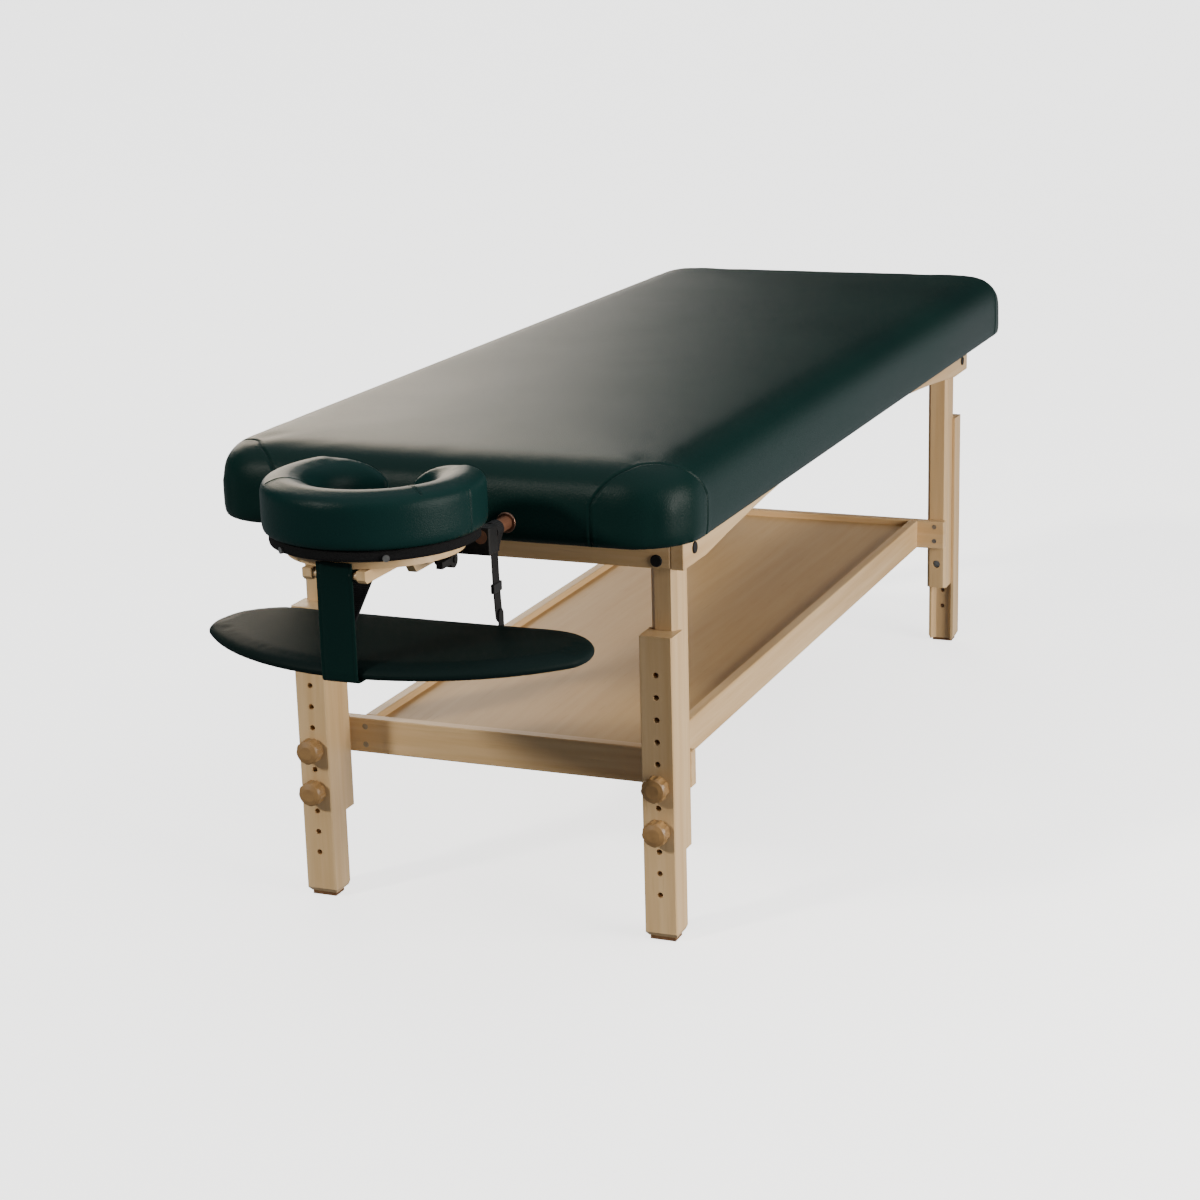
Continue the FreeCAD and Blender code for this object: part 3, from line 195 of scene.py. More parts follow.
def paint(red, green, blue):
    """A colour read as ordinary 0 to 255 screen values, turned into the linear values that shaders take."""
    linear = []
    for value in (red, green, blue):
        share = value / 255
        linear.append(share / 12.92 if share <= 0.04045 else ((share + 0.055) / 1.055) ** 2.4)
    return (*linear, 1.0)


# %% [markdown]
# ## Maple, plywood and turned wood
#
# The frame is clear-finished maple: cream, with long faint streaks and short darker flecks along the grain.
# Noise that is squeezed across the grain and drawn out along it gives both. Grain runs along each board, so
# there is one finish for each direction, and boards are told apart by a slow change of tone.

# %% Wood finishes
GRAIN = {"x": (1, 22, 22), "y": (22, 1, 22), "z": (22, 22, 1)}


def maple(name, along, pale, warm, rough=0.42):
    wood = Finish(name, Coat_Weight=0.12, Coat_Roughness=0.25)
    drawn = wood.stretched(wood.spot(), GRAIN[along])
    streaks = wood.noise(drawn, 2.6, 4.0, 0.6)
    flecks = wood.noise(drawn, 17.0, 2.0, 0.5)
    tone = wood.noise(wood.spot(), 1.7, 1.0)
    share = wood.ramp(streaks * 0.75 + tone * 0.35, 0.36, 0.78)
    colour = wood.mix(share, pale, warm)
    fleck = wood.ramp(flecks, 0.62, 0.80) * 0.30
    colour = wood.mix(fleck, colour, tuple(0.62 * v for v in warm[:3]) + (1.0,))
    roughness = rough + streaks * 0.10 + fleck * 0.2
    return wood.wear(colour, roughness, streaks * 0.5 - fleck, 0.0003)


PALE_MAPLE = paint(212, 182, 138)
WARM_MAPLE = paint(188, 152, 104)
maple_finish = {along: maple("maple along " + along, along, PALE_MAPLE, WARM_MAPLE) for along in "xyz"}
plywood_finish = maple("plywood", "y", paint(186, 153, 104), paint(176, 142, 94), 0.5)
knob_finish = maple("turned knob wood", "y", paint(152, 118, 74), paint(122, 92, 54), 0.4)
# The rods' dark red-brown is painted shade for the shade they lie in beside the face rest, by the pad's end.
rod_painted_shade_finish = maple("rod wood with painted shade", "y", paint(118, 80, 58), paint(92, 58, 42), 0.4)
print("wood finishes:", len(maple_finish) + 3)

# %% [markdown]
# ## Vinyl
#
# The cover is dark green vinyl. Its grain is a pattern of small pebbles about a millimetre across, which only
# a close view resolves; from further off it just spreads the highlights. The sheen on the top comes from the
# lights, so the finish itself stays dark and even, with a slow change in tone and polish. The face rest's
# copy is painted a little lighter than the table's, as painted light for the light it catches from the front,
# and the sling's copy is painted darker, as painted shade under the face rest, and is duller.

# %% Vinyl finish
def vinyl(name, deep, light, polish=0.27):
    cover = Finish(name, Specular_IOR_Level=0.06)
    spot = cover.spot()
    pebble = cover.node("ShaderNodeTexVoronoi", {"feature": "SMOOTH_F1"},
                        {"Vector": spot, "Scale": 750.0, "Smoothness": 0.6})
    crease = cover.noise(spot, 160.0, 3.0, 0.6)
    cloud = cover.noise(spot, 4.5, 2.0)
    colour = cover.mix(cover.ramp(cloud, 0.3, 0.75), deep, light)
    roughness = polish + cloud * 0.08 + pebble * 0.05
    return cover.wear(colour, roughness, crease * 0.35 - pebble, 0.00022)


green_vinyl = vinyl("green vinyl", paint(12, 33, 31), paint(14, 37, 34))
# The face rest's vinyl is painted lighter than the table's: painted light from the front.
face_vinyl_painted_light = vinyl("face rest vinyl with painted light", paint(14, 38, 37), paint(16, 42, 40))
# The sling's vinyl is painted darker than the table's: painted shade from the face rest above it.
sling_vinyl_painted_shade = vinyl("sling vinyl with painted shade", paint(9, 22, 21), paint(11, 26, 25), 0.5)
print("vinyl finishes:", [cover.name for cover in (green_vinyl, face_vinyl_painted_light, sling_vinyl_painted_shade)])

# %% [markdown]
# ## Webbing, hook pile, metal, rubber
#
# The small finishes follow the same pattern: one or two textures drive colour, roughness and bump. Webbing is
# woven, so two crossed waves make its ribs. The hook band is a short dense pile. Copper keeps a few darker
# clouds where it has been handled.

# %% Small finishes
def webbing(name):
    band = Finish(name, Specular_IOR_Level=0.2)
    spot = band.spot()
    across = band.node("ShaderNodeTexWave", {"wave_type": "BANDS", "bands_direction": "Z"},
                       {"Vector": spot, "Scale": 160.0, "Distortion": 0.4})
    along = band.node("ShaderNodeTexWave", {"wave_type": "BANDS", "bands_direction": "DIAGONAL"},
                      {"Vector": spot, "Scale": 210.0, "Distortion": 0.3})
    weave = across * 0.6 + along * 0.4
    colour = band.mix(weave, paint(10, 10, 11), paint(34, 34, 36))
    return band.wear(colour, 0.62 + weave * 0.2, weave, 0.0005)


def pile(name):
    tuft = Finish(name, Specular_IOR_Level=0.15)
    curl = tuft.noise(tuft.spot(), 900.0, 4.0, 0.7)
    colour = tuft.mix(tuft.ramp(curl, 0.35, 0.7), paint(7, 7, 8), paint(26, 26, 28))
    return tuft.wear(colour, 0.75 + curl * 0.2, curl, 0.0012)


def metal(name, dark, light, rough):
    plate = Finish(name, Metallic=1.0)
    cloud = plate.noise(plate.spot(), 70.0, 3.0)
    fine = plate.noise(plate.spot(), 900.0, 2.0)
    colour = plate.mix(plate.ramp(cloud, 0.35, 0.7), dark, light)
    return plate.wear(colour, rough + cloud * 0.12, fine, 0.00005)


def matt(name, dark, light, scale, rough, depth):
    coat = Finish(name, Specular_IOR_Level=0.3)
    speck = coat.noise(coat.spot(), scale, 4.0, 0.6)
    colour = coat.mix(coat.ramp(speck, 0.35, 0.68), dark, light)
    return coat.wear(colour, rough + speck * 0.12, speck, depth)


black_webbing = webbing("black webbing")
hook_pile = pile("hook pile")
copper = metal("copper", paint(128, 94, 78), paint(176, 142, 124), 0.34)
steel = metal("zinc steel", paint(120, 120, 118), paint(170, 170, 168), 0.3)
black_steel = matt("blackened steel", paint(8, 8, 9), paint(17, 17, 18), 300.0, 0.6, 0.00005)
# Black paint, which on the cradle bar stands for painted shade.
black_paint_and_painted_shade = matt("black paint and painted shade", paint(11, 11, 12), paint(24, 24, 25), 220.0, 0.45, 0.0001)
foot_rubber = matt("brown foot rubber", paint(88, 60, 38), paint(122, 88, 58), 320.0, 0.7, 0.0003)
plastic = matt("black moulded plastic", paint(12, 12, 13), paint(22, 22, 23), 600.0, 0.38, 0.00008)
print("finishes:", len(bpy.data.materials))

# %% [markdown]
# ## Dressing the solids
#
# Each solid already has one material slot. Putting a finish into it leaves the mesh alone, which is what the
# fixed model needs. Names tell which way a board's grain runs.

# %% Finishes on the solids
def dress(finish, *starts):
    count = 0
    for name, solid in cad_nodes.items():
        if name.startswith(starts):
            solid.data.materials.clear()
            solid.data.materials.append(finish)
            count += 1
    return count


dressed = dress(maple_finish["z"], "upper_leg", "leg_extension")
dressed += dress(maple_finish["y"], "side_rail", "shelf_rail", "cradle_arms")
dressed += dress(rod_painted_shade_finish, "cradle_rods")
dressed += dress(maple_finish["x"], "end_rail", "shelf_end", "face_platform", "sling_dowels")
dressed += dress(plywood_finish, "shelf_panel", "shelf_cleats", "deck", "sling_core")
dressed += dress(knob_finish, "knob")
dressed += dress(black_steel, "frame_bolts", "pivot_pin")
dressed += dress(steel, "leg_bolts", "leg_inserts", "shelf_screws", "snap_studs")
# The cradle bar gets the black finish as painted shade, where the head rail lies in deep shade behind the
# face rest; the lugs and levers are painted black.
dressed += dress(black_paint_and_painted_shade, "cradle_bar", "platform_lugs", "cam_levers")
dressed += dress(foot_rubber, "foot_pad")
dressed += dress(copper, "rod_rings", "rod_sleeves")
print("solids dressed:", dressed)

# %% [markdown]
# ## A skin through loops
#
# A cushion is easiest to describe by closed loops, one above the other: the lower edge tucks in, the wall is
# upright, and the upper edge rolls over to a slight crown. Loops with the same number of points skin directly
# into quads. This is only the starting form for the stuffing step that follows.

# %% Loops to a mesh
def wall(form, loops):
    """Adds the quads between closed loops of equal length and returns the loops' vertices."""
    rings = [[form.verts.new(spot) for spot in loop] for loop in loops]
    count = len(rings[0])
    for lower, upper in zip(rings, rings[1:]):
        for index in range(count):
            follow = (index + 1) % count
            form.faces.new((lower[index], lower[follow], upper[follow], upper[index]))
    return rings


def placed(name, form):
    """Turns a worked-out form into an object of the scene."""
    mesh = bpy.data.meshes.new(name)
    form.to_mesh(mesh)
    form.free()
    piece = bpy.data.objects.new(name, mesh)
    bpy.context.scene.collection.objects.link(piece)
    return piece


def smooth_quads(piece):
    """Shades the quads of a piece smooth and leaves its flat ends alone."""
    for face in piece.data.polygons:
        face.use_smooth = len(face.vertices) == 4


def skin(name, loops):
    """One closed mesh through closed loops of equal length, capped at both ends."""
    form = bmesh.new()
    rings = wall(form, loops)
    form.faces.new(list(reversed(rings[0])))
    form.faces.new(rings[-1])
    bmesh.ops.recalc_face_normals(form, faces=form.faces)
    return placed(name, form)


# %% Loops of a cushion
TUCK_ROWS = ((0.0, 1.0), (0.45, 0.42), (1.3, 0.08), (2.2, 0.0))


def roll_rows(thick, roll, crown, tuck, steps=7):
    """Pairs of height and inset up the side of a cushion: the tucked lower edge, then the roll."""
    rows = [(tuck * height, tuck * inset) for height, inset in TUCK_ROWS]
    base = thick - crown - roll
    for step in range(steps + 1):
        angle = math.radians(90 * step / steps)
        rows.append((base + roll * math.sin(angle), roll * (1 - math.cos(angle))))
    return rows


def rounded_box(middle, half_wide, half_long, radius, height, turn_steps=10, long_steps=24):
    """Loop of a rounded rectangle, with points along its straight sides too."""
    corners = []
    for side, end, start in ((1, -1, -90), (1, 1, 0), (-1, 1, 90), (-1, -1, 180)):
        arc = []
        for step in range(turn_steps + 1):
            angle = math.radians(start + 90 * step / turn_steps)
            arc.append(Vector((middle.x + side * (half_wide - radius) + radius * math.cos(angle),
                               middle.y + end * (half_long - radius) + radius * math.sin(angle), height)))
        corners.append(arc)
    loop = []
    for number, arc in enumerate(corners):
        loop += arc
        following = corners[(number + 1) % 4][0]
        for step in range(1, long_steps):
            loop.append(arc[-1].lerp(following, step / long_steps))
    return loop


# %% [markdown]
# ## Stuffing
#
# A cover over foam is a balloon that can't grow: pressure pushes it out and the cloth holds it back. The form
# is remeshed into even cells, pinned where it rests on wood, and simulated for twenty frames with pressure
# and no gravity. Each point's travel is capped, so that the pad can't grow past its solid, and a light
# smoothing irons out the last wrinkles, as a tight cover has none. The result replaces the mesh, and no
# modifier is left.

# %% Stuffing a cover
LAST_FRAME = 20


def settled(piece):
    """The piece's mesh with its modifiers worked out."""
    scene_state = bpy.context.evaluated_depsgraph_get()
    return bpy.data.meshes.new_from_object(piece.evaluated_get(scene_state))


def remake(piece, mesh):
    old = piece.data
    piece.modifiers.clear()
    piece.data = mesh
    bpy.data.meshes.remove(old)


def spots_of(mesh):
    spots = np.empty(len(mesh.vertices) * 3)
    mesh.vertices.foreach_get("co", spots)
    return spots.reshape(-1, 3)


def stuff(piece, cell, pressure, limit, resting, calm=3):
    """Remeshes the piece and fills it; `resting` says which points are held by what is below or inside,
    and `calm` how often the filled cover is ironed."""
    cover = piece.modifiers.new("cells", "REMESH")
    cover.mode = "VOXEL"
    cover.voxel_size = cell
    even = piece.modifiers.new("even", "SMOOTH")
    even.factor = 0.5
    even.iterations = 4
    remake(piece, settled(piece))
    before = spots_of(piece.data)
    held = piece.vertex_groups.new(name="held")
    held.add(np.nonzero(resting(before))[0].tolist(), 1.0, "REPLACE")
    cloth = piece.modifiers.new("stuffing", "CLOTH")
    cloth.settings.quality = 4
    cloth.settings.mass = 0.25
    cloth.settings.tension_stiffness = 12.0
    cloth.settings.compression_stiffness = 12.0
    cloth.settings.bending_stiffness = 2.0
    cloth.settings.use_pressure = True
    cloth.settings.uniform_pressure_force = pressure
    cloth.settings.vertex_group_mass = "held"
    cloth.settings.effector_weights.gravity = 0.0
    cloth.collision_settings.use_collision = False
    cloth.point_cache.frame_start = 1
    cloth.point_cache.frame_end = LAST_FRAME
    for moment in range(1, LAST_FRAME + 1):
        bpy.context.scene.frame_set(moment)
    swollen = settled(piece)
    travel = spots_of(swollen) - before
    far = np.linalg.norm(travel, axis=1, keepdims=True)
    kept = travel * np.minimum(1.0, limit / np.maximum(far, 1e-9))
    swollen.vertices.foreach_set("co", (before + kept).ravel())
    remake(piece, swollen)
    ironed = piece.modifiers.new("ironed", "SMOOTH")
    ironed.factor = 0.5
    ironed.iterations = calm
    ironed.vertex_group = "held"
    ironed.invert_vertex_group = True
    remake(piece, settled(piece))
    piece.vertex_groups.clear()
    bpy.context.scene.frame_set(1)
    most = np.linalg.norm(kept, axis=1).max()
    print(piece.name, "cells", len(before), "grew by up to %.1f mm" % (1000 * most))
    for face in piece.data.polygons:
        face.use_smooth = True
    return piece


# %% [markdown]
# ## Seams
#
# A seam pulls the cover down into the foam in a narrow valley with a soft shoulder on each side. The cells
# are too coarse for that, so the faces near a seam are divided first. Then each point moves along its normal
# by a small profile of its distance to the seam line.

# %% Sewing a seam into a cushion
def distance_to_line(spots, line):
    """Distance from each point to a chain of straight pieces."""
    best = np.full(len(spots), 1e9)
    for first, second in zip(line[:-1], line[1:]):
        run = second - first
        share = np.clip(((spots - first) @ run) / (run @ run), 0, 1)
        gap = spots - first - share[:, None] * run
        best = np.minimum(best, np.linalg.norm(gap, axis=1))
    return best


def laid_on(piece, line):
    """Moves a chain of points to the nearest places on the piece's surface."""
    corners = [vertex.co for vertex in piece.data.vertices]
    faces = [face.vertices[:] for face in piece.data.polygons]
    tree = BVHTree.FromPolygons(corners, faces)
    return np.array([tree.find_nearest(Vector(spot))[0] for spot in line])


SEAM_REACH = 0.03


def sew(piece, lines, depth, width, near, divide):
    """Divides the faces `near` the lines and presses the seams in."""
    form = bmesh.new()
    form.from_mesh(piece.data)
    for _ in range(divide):
        form.verts.ensure_lookup_table()
        spots = np.array([v.co for v in form.verts])
        gap = np.min([distance_to_line(spots, line) for line in lines], axis=0)
        close = gap < near
        edges = [e for e in form.edges if close[e.verts[0].index] and close[e.verts[1].index]]
        bmesh.ops.subdivide_edges(form, edges=edges, cuts=1, use_grid_fill=True)
        form.verts.index_update()
        form.normal_update()
    spots = np.array([v.co for v in form.verts])
    gap = np.min([distance_to_line(spots, line) for line in lines], axis=0)
    normals = [v.normal.copy() for v in form.verts]
    for vertex, far, normal in zip(form.verts, gap, normals):
        if far < SEAM_REACH:
            valley = -depth * math.exp(-(far / width) ** 2)
            shoulder = 0.25 * depth * math.exp(-((far - 2.8 * width) / (1.6 * width)) ** 2)
            vertex.co += normal * (valley + shoulder)
    form.to_mesh(piece.data)
    form.free()
    for face in piece.data.polygons:
        face.use_smooth = True


# %% [markdown]
# ## The table cushion
#
# Thick foam is wrapped in vinyl and drawn under the deck. The form follows the deck below: it has a hollow
# for the wood, and its lower rim hangs a little below the deck, as a stretched cover does. At each corner the
# cover is a separate fitted panel: one upright seam on the end, one on the side, and a curved seam over the
# top between them.

# %% Table cushion: form and stuffing
cushion_low, cushion_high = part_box("table_cushion")
deck_low, deck_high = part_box("deck_panel")
middle = (cushion_low + cushion_high) / 2
half_wide = (cushion_high.x - cushion_low.x) / 2
half_long = (cushion_high.y - cushion_low.y) / 2
PAD_THICK = cushion_high.z - cushion_low.z
PAD_CORNER = 0.084
PAD_ROLL = 0.050
PAD_CROWN = 0.005
PAD_TUCK = 0.007
PAD_SPARE = 0.0018
RIM_DROP = 0.012
HOLLOW_GAP = 0.0006
HELD_MARGIN = 0.004
CROWN_INSETS = (0.075, 0.10, 0.13, 0.17, 0.22, 0.28, 0.335)
CROWN_CORNER = 0.034
CROWN_TIGHTER = 0.016
rim_low = cushion_low.z - RIM_DROP
roll_low = cushion_high.z - PAD_CROWN - PAD_ROLL

loops = []
hollow_wide = deck_high.x - middle.x + HOLLOW_GAP
hollow_long = deck_high.y - middle.y + HOLLOW_GAP
hollow_corner = PAD_CORNER - (half_wide - hollow_wide)
for height in (deck_high.z + HOLLOW_GAP, rim_low):
    loops.append(rounded_box(middle, hollow_wide, hollow_long, hollow_corner, height))
for height, inset in roll_rows(PAD_THICK + RIM_DROP, PAD_ROLL, PAD_CROWN, PAD_TUCK):
    inset -= PAD_SPARE
    loops.append(rounded_box(middle, half_wide - inset, half_long - inset, PAD_CORNER - inset,
                             rim_low + height))
for inset in CROWN_INSETS:
    share = (inset - PAD_ROLL) / (CROWN_INSETS[-1] - PAD_ROLL)
    height = cushion_high.z - PAD_CROWN * (1 - share) ** 2
    loops.append(rounded_box(middle, half_wide - inset, half_long - inset,
                             CROWN_CORNER - CROWN_TIGHTER * share, height))
table_cushion = skin("table_cushion_cover", loops)


def pad_resting(spots):
    """Held points: all round the deck, and along the lower rim."""
    inside = np.abs(spots[:, 0] - middle.x) < hollow_wide + HELD_MARGIN
    inside &= np.abs(spots[:, 1] - middle.y) < hollow_long + HELD_MARGIN
    on_deck = inside & (spots[:, 2] < deck_high.z + HELD_MARGIN)
    return on_deck | (spots[:, 2] < rim_low + 2 * HELD_MARGIN)


stuff(table_cushion, cell=0.009, pressure=2.0, limit=0.002, resting=pad_resting, calm=6)
print("table cushion %.0f by %.0f mm" % (2000 * half_wide, 2000 * half_long))

# %% Table cushion: corner panels
END_SEAM = 0.126
SIDE_SEAM = 0.105
SEAM_LEAN = math.radians(88)
UPRIGHT_STEPS = 8
ARCH_STEPS = 60
seam_low = rim_low + 0.004
end_run = END_SEAM - PAD_CORNER
turn_run = PAD_CORNER * math.pi / 2
seam_run = end_run + turn_run + SIDE_SEAM - PAD_CORNER


def on_roll(run, lean):
    """Place on a corner's rolled edge: how far round it runs, and how far the roll leans in."""
    inset = PAD_ROLL * (1 - math.cos(lean))
    height = roll_low + PAD_ROLL * math.sin(lean)
    if run < end_run:
        return half_wide - END_SEAM + run, half_long - inset, height
    if run > end_run + turn_run:
        return half_wide - inset, half_long - PAD_CORNER - (run - end_run - turn_run), height
    turn = (run - end_run) / PAD_CORNER
    reach = PAD_CORNER - inset
    return (half_wide - PAD_CORNER + reach * math.sin(turn),
            half_long - PAD_CORNER + reach * math.cos(turn), height)


upright = [seam_low + (roll_low - seam_low) * step / UPRIGHT_STEPS for step in range(UPRIGHT_STEPS)]
panel = [(half_wide - END_SEAM, half_long, height) for height in upright]
for step in range(ARCH_STEPS + 1):
    lean = SEAM_LEAN * (1 - abs(2 * step / ARCH_STEPS - 1) ** 2.4)
    panel.append(on_roll(seam_run * step / ARCH_STEPS, lean))
panel += [(half_wide, half_long - SIDE_SEAM, height) for height in reversed(upright)]
seam_lines = []
for side in (-1, 1):
    for end in (-1, 1):
        seam = [(middle.x + side * across, middle.y + end * along, height) for across, along, height in panel]
        seam_lines.append(laid_on(table_cushion, seam))
sew(table_cushion, seam_lines, depth=0.0016, width=0.0016, near=0.011, divide=3)
print("corner panels:", len(seam_lines), "faces:", len(table_cushion.data.polygons))

# %% Table cushion: holes for the rods
ROD_REACH = 0.0125
rod_low, rod_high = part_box("cradle_rods")
ring_low, ring_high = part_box("rod_rings")
rod_height = (rod_low.z + rod_high.z) / 2
rod_out = (ring_high.x - ring_low.x) / 2 - (ring_high.z - ring_low.z) / 2
form = bmesh.new()
form.from_mesh(table_cushion.data)
for side in (-1, 1):
    doomed = []
    for face in form.faces:
        centre = face.calc_center_median()
        far = math.hypot(centre.x - side * rod_out, centre.z - rod_height)
        if centre.y < deck_low.y + HELD_MARGIN and far < ROD_REACH:
            doomed.append(face)
    bmesh.ops.delete(form, geom=doomed, context="FACES")
for vertex in form.verts:
    if vertex.is_boundary:
        side = 1 if vertex.co.x > 0 else -1
        away = Vector((vertex.co.x - side * rod_out, 0, vertex.co.z - rod_height))
        goal = away.normalized() * ROD_REACH
        vertex.co.x = side * rod_out + goal.x
        vertex.co.z = rod_height + goal.z
form.to_mesh(table_cushion.data)
form.free()
table_cushion.data.materials.append(green_vinyl)
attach(table_cushion, "frame")
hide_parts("table_cushion")
print("rod holes %.0f mm to each side, %.0f mm up" % (1000 * rod_out, 1000 * rod_height))

# %% [markdown]
# ## The face cushion
#
# The face cushion is a fat ring that is cut straight by the table and split there. Its outer edge is a tight
# roll, and its opening flares widely towards the top, so the two ends taper down into round noses. One
# outline with a changing radius, opening and cut gives every loop of it.

# %% Outline of the face rest
face_low, face_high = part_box("face_cushion")
FACE_RADIUS = 0.148
FACE_HOLE = 0.070
FACE_SPLIT = 0.018
FACE_NOSE = 0.012
FACE_CORNER = 0.030
face_middle = face_low.y + FACE_RADIUS
face_cut = face_high.y - face_middle


def arc_through(first, between, last, count):
    """Points of the circle through three places, without the last one."""
    (ax, ay), (bx, by), (cx, cy) = first, between, last
    a, b, c = [x * x + y * y for x, y in (first, between, last)]
    double = 2 * (ax * (by - cy) + bx * (cy - ay) + cx * (ay - by))
    middle_x = (a * (by - cy) + b * (cy - ay) + c * (ay - by)) / double
    middle_y = (a * (cx - bx) + b * (ax - cx) + c * (bx - ax)) / double
    radius = math.hypot(ax - middle_x, ay - middle_y)
    start = math.atan2(ay - middle_y, ax - middle_x)
    half_turn, sweep = [(math.atan2(y - middle_y, x - middle_x) - start) % (2 * math.pi)
                        for x, y in (between, last)]
    if half_turn > sweep:
        sweep -= 2 * math.pi
    arc = []
    for step in range(count):
        angle = start + sweep * step / count
        arc.append((middle_x + radius * math.cos(angle), middle_y + radius * math.sin(angle)))
    return arc


def horseshoe(radius, hole, cut, height):
    """Loop of the split ring; the cut counts from its middle."""
    split = max(FACE_SPLIT, math.sqrt(max(hole ** 2 - (cut - FACE_NOSE) ** 2, 0)))
    inner = split + FACE_NOSE / 2
    reach = math.sqrt(radius ** 2 - cut ** 2)
    corner = min(FACE_CORNER, (reach - inner) / 2)
    turn = math.asin(cut / radius) - corner / radius
    notch = math.acos(inner / hole)
    half = []
    for step in range(22):
        angle = -math.pi / 2 + (notch + math.pi / 2) * step / 22
        half.append((hole * math.cos(angle), hole * math.sin(angle)))
    nose = (inner, hole * math.sin(notch))
    half += arc_through(nose, (split, (nose[1] + cut) / 2), (inner, cut), 8)
    for step in range(5):
        half.append((inner + (reach - corner - inner) * step / 5, cut))
    leave = (radius * math.cos(turn), radius * math.sin(turn))
    chord = ((reach - corner + leave[0]) / 2, (cut + leave[1]) / 2)
    full = (chord[0] + (reach - chord[0]) * 0.4, chord[1] + (cut - chord[1]) * 0.4)
    half += arc_through((reach - corner, cut), full, leave, 8)
    for step in range(33):
        angle = turn + (-math.pi / 2 - turn) * step / 32
        half.append((radius * math.cos(angle), radius * math.sin(angle)))
    mirrored = [(-across, along) for across, along in reversed(half[1:-1])]
    return [Vector((across, face_middle + along, height)) for across, along in half + mirrored]


print("face rest %.0f mm wide, cut %.0f mm behind its middle" % (2000 * FACE_RADIUS, 1000 * face_cut))

# %% Face cushion
FACE_SLACK = 0.003
FACE_ROLL = 0.016
FACE_FLARE = 0.030
FACE_FLARE_DEEP = 0.040
FACE_CROWN = 0.003
FACE_TUCK = 0.005
FACE_HELD = 0.006
FACE_LIFT = 0.0004
FACE_THICK = face_high.z - face_low.z - FACE_SLACK


def drawn_in(height, deep, wide):
    """How far a rolled edge has drawn in at a height."""
    share = min(max((height - FACE_THICK + FACE_CROWN + deep) / deep, 0), 1)
    return wide * (1 - math.sqrt(1 - share ** 2))


rows = [(FACE_TUCK * height, FACE_TUCK * inset, FACE_TUCK * inset) for height, inset in TUCK_ROWS]
for step in range(10):
    height = FACE_THICK - FACE_CROWN + FACE_FLARE_DEEP * (math.sin(math.radians(10 * step)) - 1)
    rolled = drawn_in(height, FACE_ROLL, FACE_ROLL)
    rows.append((height, rolled, drawn_in(height, FACE_FLARE_DEEP, FACE_FLARE)))
rows.append((FACE_THICK, FACE_ROLL + 0.006, FACE_FLARE + 0.005))
loops = []
for height, rolled, flared in rows:
    loops.append(horseshoe(FACE_RADIUS - rolled - FACE_SLACK, FACE_HOLE + flared + FACE_SLACK,
                           face_cut - rolled - FACE_SLACK, face_low.z + FACE_LIFT + height))
face_cushion = skin("face_cushion_cover", loops)


def face_resting(spots):
    """Held points: the lower edge, on the hook band."""
    return spots[:, 2] < face_low.z + FACE_HELD


stuff(face_cushion, cell=0.0042, pressure=4.0, limit=0.004, resting=face_resting)
print("face cushion %.0f mm thick" % (1000 * FACE_THICK))

# %% Face cushion: seams
FACE_SEAM = 52
WALL_SEAM = 83
WALL_SEAM_STEP = 0.0036
seam_from = FACE_HOLE + 0.012
seam_to = FACE_RADIUS - 0.002
seam_lines = []
for side in (-1, 1):
    angle = math.radians(-90 + side * FACE_SEAM)
    seam = []
    for step in range(30):
        far = seam_from + (seam_to - seam_from) * step / 29
        seam.append((far * math.cos(angle), face_middle + far * math.sin(angle), face_high.z + 0.002))
    seam_lines.append(laid_on(face_cushion, seam))
    angle = math.radians(-90 + side * WALL_SEAM)
    far = 1.02 * FACE_RADIUS
    seam = []
    for step in range(16):
        seam.append((far * math.cos(angle), face_middle + far * math.sin(angle),
                     face_high.z - FACE_ROLL - WALL_SEAM_STEP * step))
    seam_lines.append(laid_on(face_cushion, seam))
sew(face_cushion, seam_lines, depth=0.0014, width=0.0013, near=0.008, divide=2)
face_cushion.data.materials.append(face_vinyl_painted_light)
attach(face_cushion, "headrest")
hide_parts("face_cushion")
print("face cushion faces:", len(face_cushion.data.polygons))

# %% [markdown]
# ## The hook band
#
# Between cushion and platform lies a black layer of hook-and-loop tape. It is one low ring with soft edges
# that slopes in towards the platform below, so the platform's edge shows, and its finish gives it the pile.

# %% Hook band
band_low, band_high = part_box("hook_band")
band_radius = (band_high.x - band_low.x) / 2
band_cut = band_high.y - face_middle
BAND_ROWS = ((0.0, 0.0205), (0.24, 0.0035), (0.30, 0.0008), (0.5, 0.0), (0.88, 0.0003), (1.0, 0.0015))
BAND_GAP = 0.0002
BAND_EDGE = 0.0015
loops = []
for share, inset in BAND_ROWS:
    height = band_low.z + BAND_GAP + (band_high.z - band_low.z - 2 * BAND_GAP) * share
    loops.append(horseshoe(band_radius - inset, FACE_HOLE + 0.002, band_cut - min(inset, BAND_EDGE), height))
hook_band = skin("hook_band_pile", loops)
smooth_quads(hook_band)
hook_band.data.materials.append(hook_pile)
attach(hook_band, "headrest")
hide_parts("hook_band")
print("hook band %.0f mm high" % (1000 * (band_high.z - band_low.z)))

# %% [markdown]
# ## The arm sling
#
# The sling is a padded board: plywood below, foam and vinyl above. Its edge by the table is straight and its
# front is one long curve.

# %% Sling pad: plan
sling_low, sling_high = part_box("sling_pad")
core_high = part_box("sling_core")[1]
SLING_HALF = 0.268
SLING_STRAIGHT = 0.205
SLING_TURN = 0.118
SLING_ROWS = ((0, 0.18), (0.1, 0.06), (0.28, 0), (0.5, 0.02),
              (0.7, 0.12), (0.88, 0.36), (0.96, 0.7), (1, 1.4))
CORE_INSET = 0.0088
SLING_SPARE = 0.0015
SLING_LIFT = 0.0004
SLING_HELD = 0.003
SLING_SINK = 0.002
sling_back = sling_high.y
sling_front = sling_low.y


